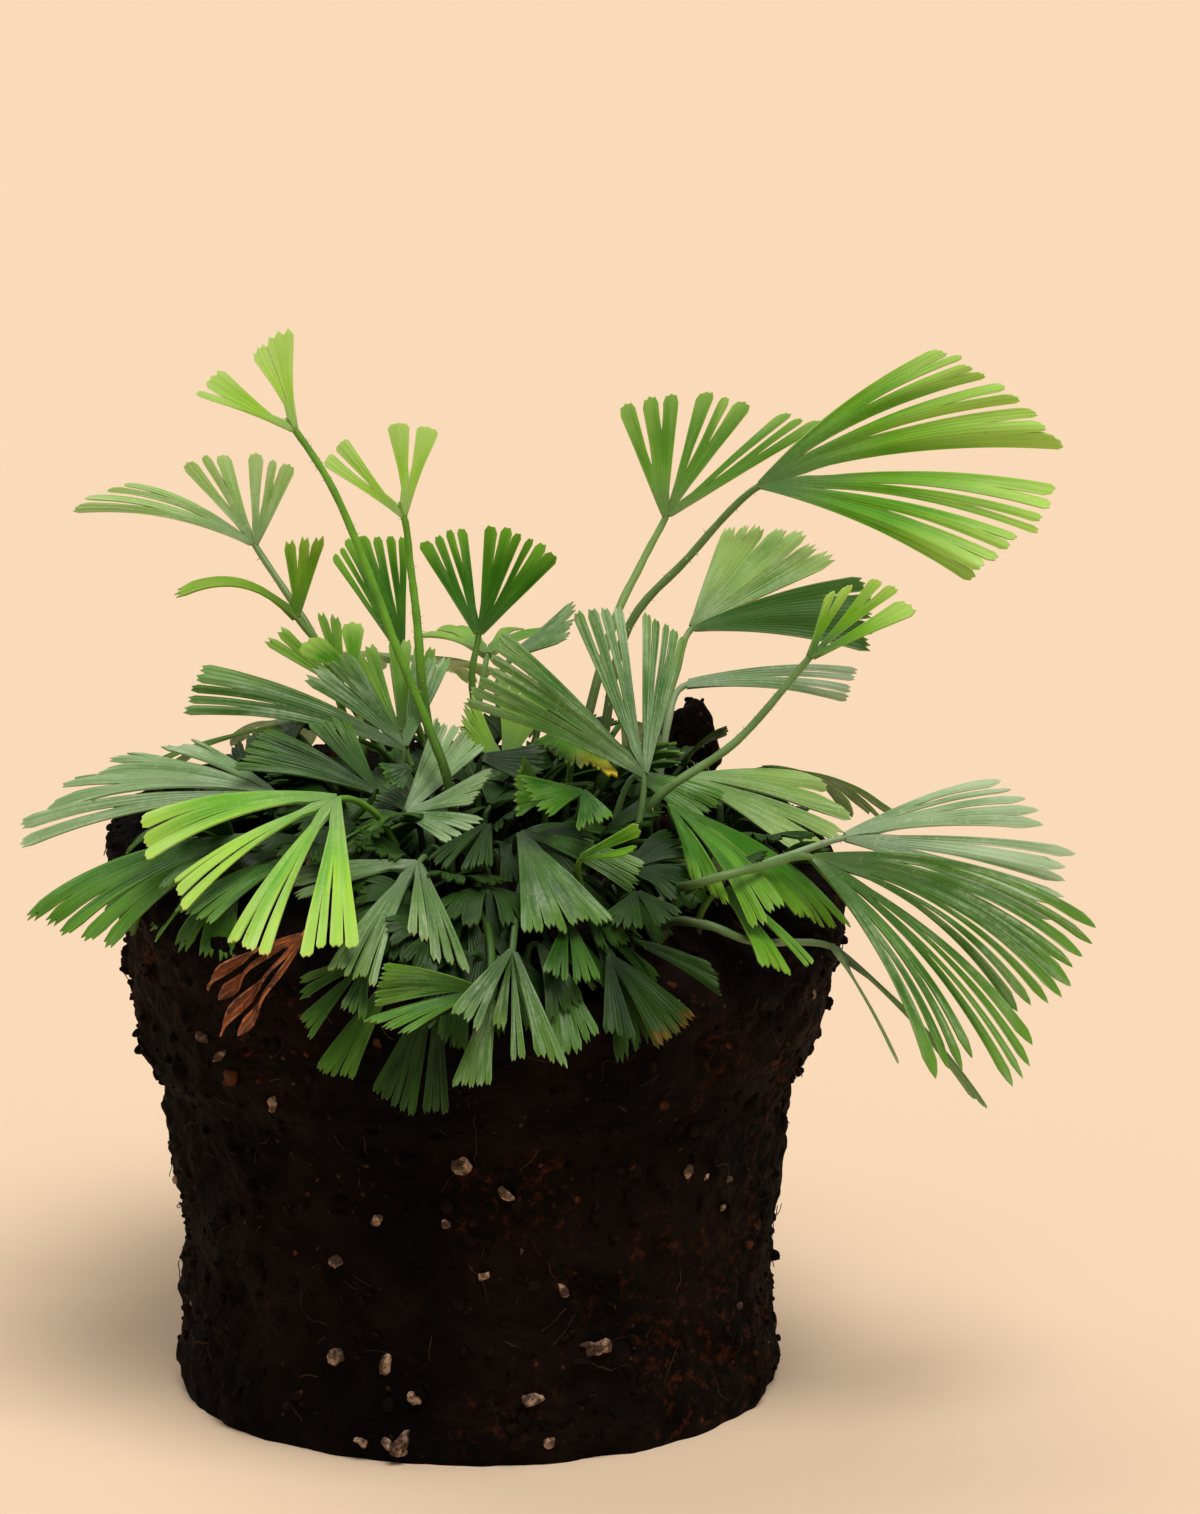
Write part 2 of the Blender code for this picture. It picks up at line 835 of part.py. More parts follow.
def fan(frond):
    """The frond's lobes. Only the fan's two outer sides are flared at the fork, to the stem's width."""
    lobes = [Lobe(frond.fork, *lobe) for lobe in frond.lobes]
    lobes[0].first_flare = lobes[-1].last_flare = BASE_HALF_WIDTH
    return lobes


def frond_body(frond):
    lobes = fan(frond)
    sheet = Sheet()
    stem_top = add_stem(sheet, frond, lobes)
    along = LONG_ROWS[0]
    row = [lobes[0].point(0, along)]
    row += [(a.point(1, along) + b.point(0, along)) / 2 for a, b in zip(lobes, lobes[1:])]
    row.append(lobes[-1].point(1, along))
    web = [sheet.add(point, BLADE_THICK / 2 + 0.1) for point in row]
    sheet.bridge(stem_top, web)
    for i, lobe in enumerate(lobes):
        reach = np.linalg.norm(lobe.last - lobe.first) / lobe.segments
        add_lobe(sheet, lobe, web[i], web[i + 1], 2 if reach > 1.5 else 1)
    return sheet.body()


def make_material(name, colour, roughness):
    material = bpy.data.materials.new(name)
    material.use_nodes = True
    shader = material.node_tree.nodes["Principled BSDF"]
    shader.inputs["Base Color"].default_value = (*colour, 1)
    shader.inputs["Roughness"].default_value = roughness
    shader.inputs["Metallic"].default_value = 0.0
    return material


def make_object(name, vertices, faces, material):
    """An object from millimetre points, with its faces turned outwards."""
    mesh = bpy.data.meshes.new(name)
    mesh.from_pydata([tuple(float(c) * MM for c in v) for v in vertices], [], faces)
    work = bmesh.new()
    work.from_mesh(mesh)
    bmesh.ops.recalc_face_normals(work, faces=work.faces)
    if work.calc_volume(signed=True) < 0:
        bmesh.ops.reverse_faces(work, faces=work.faces)
    work.to_mesh(mesh)
    work.free()
    mesh.shade_smooth()
    mesh.set_sharp_from_angle(angle=SMOOTH_ANGLE)
    mesh.materials.append(material)
    thing = bpy.data.objects.new(name, mesh)
    bpy.context.scene.collection.objects.link(thing)
    return thing


def ring(radius, height, follow_top):
    """One ring of the root ball, roughened. Above the band's foot its height follows the uneven top."""
    points = []
    for k in range(BALL_SIDES):
        angle = 2 * math.pi * (k + 0.5) / BALL_SIDES
        x, y = radius * math.cos(angle), radius * math.sin(angle)
        z = height
        if follow_top and height > BAND_BOTTOM:
            share = (height - BAND_BOTTOM) / (SIDE_LEVELS[-1][0] - BAND_BOTTOM)
            z = BAND_BOTTOM + share * (top_height(x, y) - 0.4 - BAND_BOTTOM)
        swell = 1 + (rough((x, y, 1.4 * z), 5.0, ROUGHNESS) + rough((x, y, z), 2.3, 0.5 * ROUGHNESS)) / radius
        points.append((x * swell, y * swell, z))
    return points


def root_ball_body():
    """The soil as stacked rings from its flat base to the middle of its top."""
    rings = [ring(radius, height, True) for height, radius in SIDE_LEVELS]
    for radius in TOP_RINGS:
        flat = ring(radius, TOP_HEIGHT, False)
        rings.append([(x, y, top_height(x, y) + rough((x, y, 0), 3.0, ROUGHNESS)) for x, y, _ in flat])
    vertices = [point for level in rings for point in level]
    faces = []
    for level in range(len(rings) - 1):
        for k in range(BALL_SIDES):
            a, b = level * BALL_SIDES + k, level * BALL_SIDES + (k + 1) % BALL_SIDES
            c, d = a + BALL_SIDES, b + BALL_SIDES
            faces += [(a, b, d), (a, d, c)] if (k + level) % 2 else [(a, b, c), (b, d, c)]
    for first, height in ((0, 0.0), (len(vertices) - BALL_SIDES, top_height(0, 0))):
        middle = len(vertices)
        vertices.append((0, 0, height))
        faces += [(first + k, first + (k + 1) % BALL_SIDES, middle) for k in range(BALL_SIDES)]
    return vertices, faces


def hole_cutter(fronds):
    """Six-sided pegs, one for each stem, that leave plain holes in the soil."""
    vertices, faces = [], []
    for frond in fronds:
        x, y = frond.root
        base = len(vertices)
        for z in (top_height(x, y) - HOLE_DEPTH, top_height(x, y) + 3):
            for k in range(HOLE_SIDES):
                angle = 2 * math.pi * k / HOLE_SIDES
                vertices.append((x + HOLE_RADIUS * math.cos(angle), y + HOLE_RADIUS * math.sin(angle), z))
        sides = range(HOLE_SIDES)
        faces.append([base + k for k in reversed(sides)])
        faces.append([base + HOLE_SIDES + k for k in sides])
        for k in sides:
            n = (k + 1) % HOLE_SIDES
            faces.append((base + k, base + n, base + HOLE_SIDES + n, base + HOLE_SIDES + k))
    return vertices, faces


def lump_body():
    """A rough crumb: a round ball, stretched and roughened."""
    work = bmesh.new()
    bmesh.ops.create_icosphere(work, subdivisions=2, radius=1)
    vertices = []
    for vertex in work.verts:
        swell = 1 + rough(vertex.co * 1.3 + Vector((3, 0, 0)), 1.0, LUMP_ROUGHNESS)
        vertices.append([c + r * n * swell for c, r, n in zip(LUMP_CENTRE, LUMP_RADII, vertex.co)])
    faces = [[vertex.index for vertex in face.verts] for face in work.faces]
    work.free()
    return vertices, faces


def make_tool(name, vertices, faces, material):
    """A body that only shapes another one."""
    tool = make_object(name, vertices, faces, material)
    tool.hide_render = True
    tool.display_type = "WIRE"
    return tool


def shape(target, name, operation, tool):
    modifier = target.modifiers.new(name, "BOOLEAN")
    modifier.operation = operation
    modifier.object = tool


def main():
    for thing in list(bpy.data.objects):
        bpy.data.objects.remove(thing)
    soil = make_material("soil", SOIL_COLOUR, 1.0)
    tones = {name: make_material("frond_" + name, colour, 0.55) for name, colour in TONES.items()}

    ball = make_object("root_ball", *root_ball_body(), soil)
    shape(ball, "rim_lump", "UNION", make_tool("lump_tool", *lump_body(), soil))
    shape(ball, "stem_holes", "DIFFERENCE", make_tool("hole_tool", *hole_cutter(FRONDS), soil))
    for frond in FRONDS:
        make_object("frond_" + frond.name, *frond_body(frond), tones[frond.tone])


main()
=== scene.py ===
"""The looks of a small fern: fine fronds, a crumbly root ball, a pale floor and soft light.

Lengths are in millimetres until a mesh is made. Every frond grows from the same row of FRONDS as its
solid does, on the same middle surface, so the fine fronds keep clear of each other as the solids do.
"""

import math
import random
from collections import namedtuple

import bmesh
import bpy
import numpy as np
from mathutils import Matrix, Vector, noise
from mathutils.bvhtree import BVHTree

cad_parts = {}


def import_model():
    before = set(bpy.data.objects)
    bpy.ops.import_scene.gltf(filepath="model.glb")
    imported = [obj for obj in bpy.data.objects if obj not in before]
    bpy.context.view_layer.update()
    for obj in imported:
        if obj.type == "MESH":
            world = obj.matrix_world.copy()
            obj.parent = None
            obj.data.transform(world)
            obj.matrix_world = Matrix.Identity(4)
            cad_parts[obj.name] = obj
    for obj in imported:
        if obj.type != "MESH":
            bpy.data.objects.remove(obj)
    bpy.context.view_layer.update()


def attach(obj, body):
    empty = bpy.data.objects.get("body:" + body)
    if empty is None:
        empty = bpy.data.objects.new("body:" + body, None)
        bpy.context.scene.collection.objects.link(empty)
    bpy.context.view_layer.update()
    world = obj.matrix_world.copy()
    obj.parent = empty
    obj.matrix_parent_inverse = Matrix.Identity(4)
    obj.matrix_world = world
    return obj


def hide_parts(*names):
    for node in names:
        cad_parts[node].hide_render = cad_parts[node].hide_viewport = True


MM = 0.001

# Root ball: height and radius of each level of its side, before the top's unevenness is added
SIDE_LEVELS = (
    (0.0, 22.7), (2.0, 23.1), (5.0, 22.5), (10.0, 22.4), (17.5, 23.0), (24.0, 23.8),
    (26.5, 25.5), (31.0, 26.4), (36.0, 27.0), (40.0, 27.8), (42.0, 27.6),
)
TOP_HEIGHT = 42.6
TOP_RISE_BACK = 1.5
TOP_RISE_LEFT = 1.2
RIM_DROP = 0.4
BAND_BOTTOM = 26.0

# The top falls away towards the front rim: where that starts, how deep it gets, how it curves, which way it
# faces and how far it reaches round
DIP_START = 14.0
FRONT_DIP = 5.5
DIP_CURVE = 1.5
DIP_WAY = (0.35, -0.85)
DIP_REACH = 0.12

# Swellings that the solid has too, and the finer crumbs that lie on them
ROUGHNESS = 0.55
SWELLING_SIZES = (5.0, 2.3)
SWELLING_STEEPNESS = 1.4
TOP_SWELLING = 3.0
LUMP_CENTRE = (16.3, 21.0, 45.4)
LUMP_RADII = (2.4, 2.3, 3.1)
LUMP_ROUGHNESS = 0.45
LUMP_SWELLING = 1.3
SOIL_ROUND = 260
SOIL_SIDE_STEPS = 120
SOIL_TOP_STEPS = 70
CRUMBS = 0.42
CRUMB_SIZE = 1.9
SOIL_GRAIN = 0.2
GRAIN_SIZE = 1.1
SOIL_PITS = 0.8
PIT_SIZE = 3.1
PIT_LEVEL = 0.25
FLAT_FOOT = 1.2

# The top rounds off over the outermost share of its radius
RIM_START = 0.93
ROUNDED_RIM = 0.07

# Small fronds between the large ones, whose dark and deep looks are painted shade inside the crown: their
# look and seed, how many there are, the spot round which they root and how far from it, their size, how high
# their forks stand and how far their tips rise or droop
Storey = namedtuple("Storey", "look seed count middle reach size rise droop")
STOREYS = {
    "low_undergrowth": Storey("deep", 41, 58, (1.0, -3.0), 21.0, 5.0, 2.2, (-0.25, 0.5)),
    "front_undergrowth": Storey("deep", 7, 26, (1.5, -17.5), 9.0, 4.8, 2.0, (-1.3, 0.2)),
    "high_undergrowth": Storey("dark", 29, 18, (1.0, -6.0), 10.5, 6.0, 3.0, (-0.7, 0.3)),
    "left_undergrowth": Storey("dark", 12, 8, (-14.5, -9.0), 6.5, 6.0, 2.0, (-0.7, 0.1)),
}
UNDERGROWTH_TRIES = 60
UNDERGROWTH_DEPTH = 0.85
UNDERGROWTH_TURN = 1.0
UNDERGROWTH_ROLL = 0.8
UNDERGROWTH_LEANS = (0.5, 1.8)
UNDERGROWTH_RISES = (0.6, 1.4)
UNDERGROWTH_SIZES = (0.75, 1.25)
UNDERGROWTH_TIPS = (-0.95, -0.12, 0.12, 0.95)
UNDERGROWTH_SEGMENTS = 3
UNDERGROWTH_ARCH = 0.12

# White perlite grains that the front shows: how far round from straight ahead (degrees), height and size
PERLITE = (
    (-2, 23.2, 1.0), (6, 20.9, 1.3), (17, 13.0, 0.8), (24, 8.3, 1.5), (22, 8.6, 0.9), (11, 5.0, 1.5),
    (14, 1.7, 1.1), (-17, 7.3, 1.2), (-11, 5.1, 1.0), (-27, 7.6, 1.4), (-13, 1.6, 1.7), (-16, 1.5, 1.1),
    (-21, 1.4, 0.9), (-35, 27.2, 1.3), (-49, 32.0, 1.2), (-44, 31.0, 1.0), (-26, 15.0, 1.1), (9, 16.5, 0.6),
    (2, 14.5, 0.6), (-18, 18.5, 0.8), (-5, 18.6, 0.6), (47, 20.0, 0.9),
)

# Stems. The last rings lie inside the blade: how far in, as a share of STEM_INSIDE, and how thin each is.
# Up a stem the value along runs from STEM_FOOT_ALONG to just below 0 at the fork.
THICKEST_STEM = 0.42
THINNEST_STEM = 0.29
LONG_STEM = 28.0
STEM_TAPER = 0.65
STEM_IN_SOIL = 2.0
STEM_UPRIGHT = 0.7
STEM_STRAIGHT = 0.5
STEM_PULL = 5
STEM_SIDES = 8
STEM_STEPS = 7
STEM_WOBBLE = 0.05
WOBBLE_STEP = 2.1
STEM_ACROSS = (0.3, 0.9, 0.1)
STEM_INSIDE = 0.16
STEM_END = ((0.35, 0.75), (0.7, 0.5), (1.0, 0.2))
STEM_FOOT_ALONG = -1.02

# Blades: the fan's lobes and their slits
BASE_HALF_WIDTH = 0.35
SHORT_LOBE = 11
SLIT_OPENING = (0.29, 0.21, 0.14, 0.1)
SLIT_SCATTER = 0.06
SLIT_MOUTH = 0.15
NARROW_SLIT = 0.4
WIDEST_SLIT = 0.35
LATEST_SLIT = 0.9
WEB_END = 0.1
WEB_FADE = 0.12
FROND_TONES = (0.25, 0.75)
TONE_SCATTER = 0.2

# Blades: the segments' rows and teeth. A segment has four teeth where it is wider than FOUR_TEETH_WIDTH,
# three above THREE_TEETH_WIDTH and otherwise two.
ROW_STEP = 0.75
FEWEST_ROWS = 9
ROW_CROWDING = 0.9
FOUR_TEETH_WIDTH = 2.3
THREE_TEETH_WIDTH = 1.2

# Blades: the segments' ends, as shares of the lobe's length, and their teeth's scatter, as shares of a tooth
UNSLIT_START = 0.3
LONGEST_TOOTH = 0.11
WIDEST_CORNER = 0.14
TOOTH_LENGTHS = (0.8, 1.1)
TIP_DIPS = (0, 0.35)
NOTCH_RISES = (-0.15, 0.3)
POINT_LENGTH = 0.004
SHORTENING = 0.03
SLANT = 0.5

# Blades: thickness and relief
BLADE_HALF = 0.085
BASE_EXTRA = 0.17
BASE_END = 0.3
END_THINNING = 0.4
THIN_FROM = 0.9
THIN_OVER = 0.1
RELIEF_RISE = 0.25
PLEAT = 0.014
KEEL = 0.06
FOLD = 0.022
FOLD_WAVES = 2.3
LIFT = 0.3
FULL_LIFT_LENGTH = 14
TWIST = 0.4
FULL_TWIST_BREADTH = 3
SHARP_EDGE = 50

# How the fine fronds are cut: where along a lobe its slits start, the first level's, which halves it, and the
# later ones'; how far they open next to the solids' slits; how long the teeth and how drawn in the segments'
# corners are, as shares of a segment's width; whether the ends are pointed; and the waist below a lobe's end
Cut = namedtuple("Cut", "starts open tooth corner pointed waist")
UNCUT = 1.0
SHORT_CUT = Cut((0.66, 0.74, 0.8, 0.86), 0.5, 0.5, 0.2, False, 0.0)
LONG_CUT = Cut((0.42, 0.6, 0.72, 0.83), 0.55, 0.42, 0.25, False, 0.0)
FRONT_CUT = Cut((0.6, 0.72, 0.8, 0.86), 0.45, 0.5, 0.3, False, 0.0)
STRAP_CUT = Cut((0.26, 0.44, 0.74, 0.84), 0.65, 0.0, 1.3, True, 0.0)
JAGGED_CUT = Cut((0.6, 0.7, 0.78, 0.84), 0.5, 0.45, 0.5, False, 0.0)
BACK_CUT = Cut((0.35, 0.62, 0.78, 0.84), 0.6, 0.14, 0.3, False, 0.0)

# A cut belongs to a tone, to a frond or to one lobe of a frond, and the closest of them holds
CUTS = {
    "lime": Cut((0.42, 0.66, 0.85, 0.87), 0.45, 0.14, 0.2, False, 0.1),
    "bright": Cut((0.2, 0.42, 0.76, 0.85), 0.9, 0.16, 0.3, False, 0.0),
    "dead": Cut((0.13, 0.42, 0.7, 0.85), 0.8, 0.0, 1.3, True, 0.0),
    ("tall_left", 0): Cut((0.68, 0.8, 0.8, 0.8), 0.5, 0.22, 0.12, False, 0.5),
    ("tall_left", 1): Cut((UNCUT, UNCUT, UNCUT, UNCUT), 0.5, 0.22, 0.1, False, 0.5),
    "tall_mid": Cut((0.4, 0.8, 0.85, 0.88), 0.5, 0.06, 0.12, False, 0.35),
    "right_lime": Cut((0.6, 0.85, 0.88, 0.88), 0.5, 0.12, 0.2, False, 0.3),
    "lime_small_left": Cut((UNCUT, UNCUT, UNCUT, UNCUT), 0.3, 0.1, 0.2, False, 0.0),
    "right_front": Cut((0.72, 0.74, 0.8, 0.86), 0.4, 0.5, 0.3, False, 0.0),
    "right_front_low": Cut((0.6, 0.7, 0.8, 0.86), 0.5, 0.4, 0.2, False, 0.0),
    ("back_right_pale", 0): Cut((0.8, 0.72, 0.8, 0.86), 0.45, 0.4, 0.3, False, 0.0),
    ("back_right_pale", 1): Cut((0.85, 0.76, 0.84, 0.88), 0.45, 0.4, 0.3, False, 0.0),
}
SHARED_CUTS = {
    BACK_CUT: "back_left_high back_mid back_mid_left back_right_high",
    STRAP_CUT: "right_silver right_green_low rear_left rear_right rear_far_right",
    JAGGED_CUT: "left_far left_low",
    FRONT_CUT: "right_mid front_mid centre_dark centre_green left_long left_dark_under front_left_green"
    " front_right_green front_left_silver front_low_silver front_low_dark front_low_left front_far_left",
}
CUTS |= {name: cut for cut, names in SHARED_CUTS.items() for name in names.split()}

# Widths of a lobe's segments next to each other where they aren't about alike
WIDTHS = {("tall_left", 0): (1, 3), ("tall_left", 1): (2, 3)}
UNEVEN = 0.16

# Fronds whose look is not that of their tone: those that catch the light, in looks of painted light, the
# shaded ones, in looks of painted shade, and the singed ones
SHARED_LOOKS = {
    "fresh": "tall_mid tall_left",
    "bright": "right_lime lime_small_left",
    "vivid": "back_mid back_mid_left right_front right_front_low lime_bud",
    "sunlit": "back_right_high dark_behind_lime left_deep filler_back rear_mid rear_mid_left right_shadow",
    "glossy": "right_green_low right_deep",
    "pale": "back_left_high right_mid back_right_pale",
    "silver": "right_silver right_grey_low",
    "misty": "left_far centre_silver back_mid_low",
    "ashen": "left_front_silver right_low",
    "grey": "left_long",
    "dusky": "centre_dark front_mid front_low_silver",
    "green": "rear_left rear_right rear_far_right left_dark_under middle_deep",
    "dark": "front_right_silver front_right_green front_low_left front_far_left",
    "deep": "front_right_dark front_low_dark front_right_orange filler_front filler_right filler_mid_left",
}
LOOK_OF = {name: look for look, names in SHARED_LOOKS.items() for name in names.split()}

# The lobe of a frond whose end is withered brown, and the one that lies in its own shade
WITHERED = {"left_front_silver": 1, "front_right_orange": 0}
WITHERED_TONE = 3.0
SHADED = {"back_right_pale": 1}
SHADED_TONE = -1.0

# How much wider than its solid a frond's lobes spread at their ends
SPREAD = {
    "tall_left": 1.35, "right_lime": 1.5, "tall_mid": 1.15, "left_far": 1.3, "left_low": 1.2,
    "front_left_lime": 1.1, "right_front": 1.12, "right_green_low": 1.28, "right_silver": 1.2,
    "front_mid": 1.15, "left_front_silver": 1.12, "left_long": 1.12, "right_mid": 1.15, "centre_dark": 1.1,
}

# Long stems that carry fine pale hairs
HAIRY = ("tall_left", "tall_mid", "right_lime", "right_bright", "right_silver", "back_left_high")

# A frond: where its stem leaves the soil (x, y), points that the stem passes, the fork where its fan begins,
# and its lobes in order round the fan. A lobe is its first outer tip, its last outer tip, its number of
# segments and its arch as a share of its length.
Frond = namedtuple("Frond", "name tone root bends fork lobes")

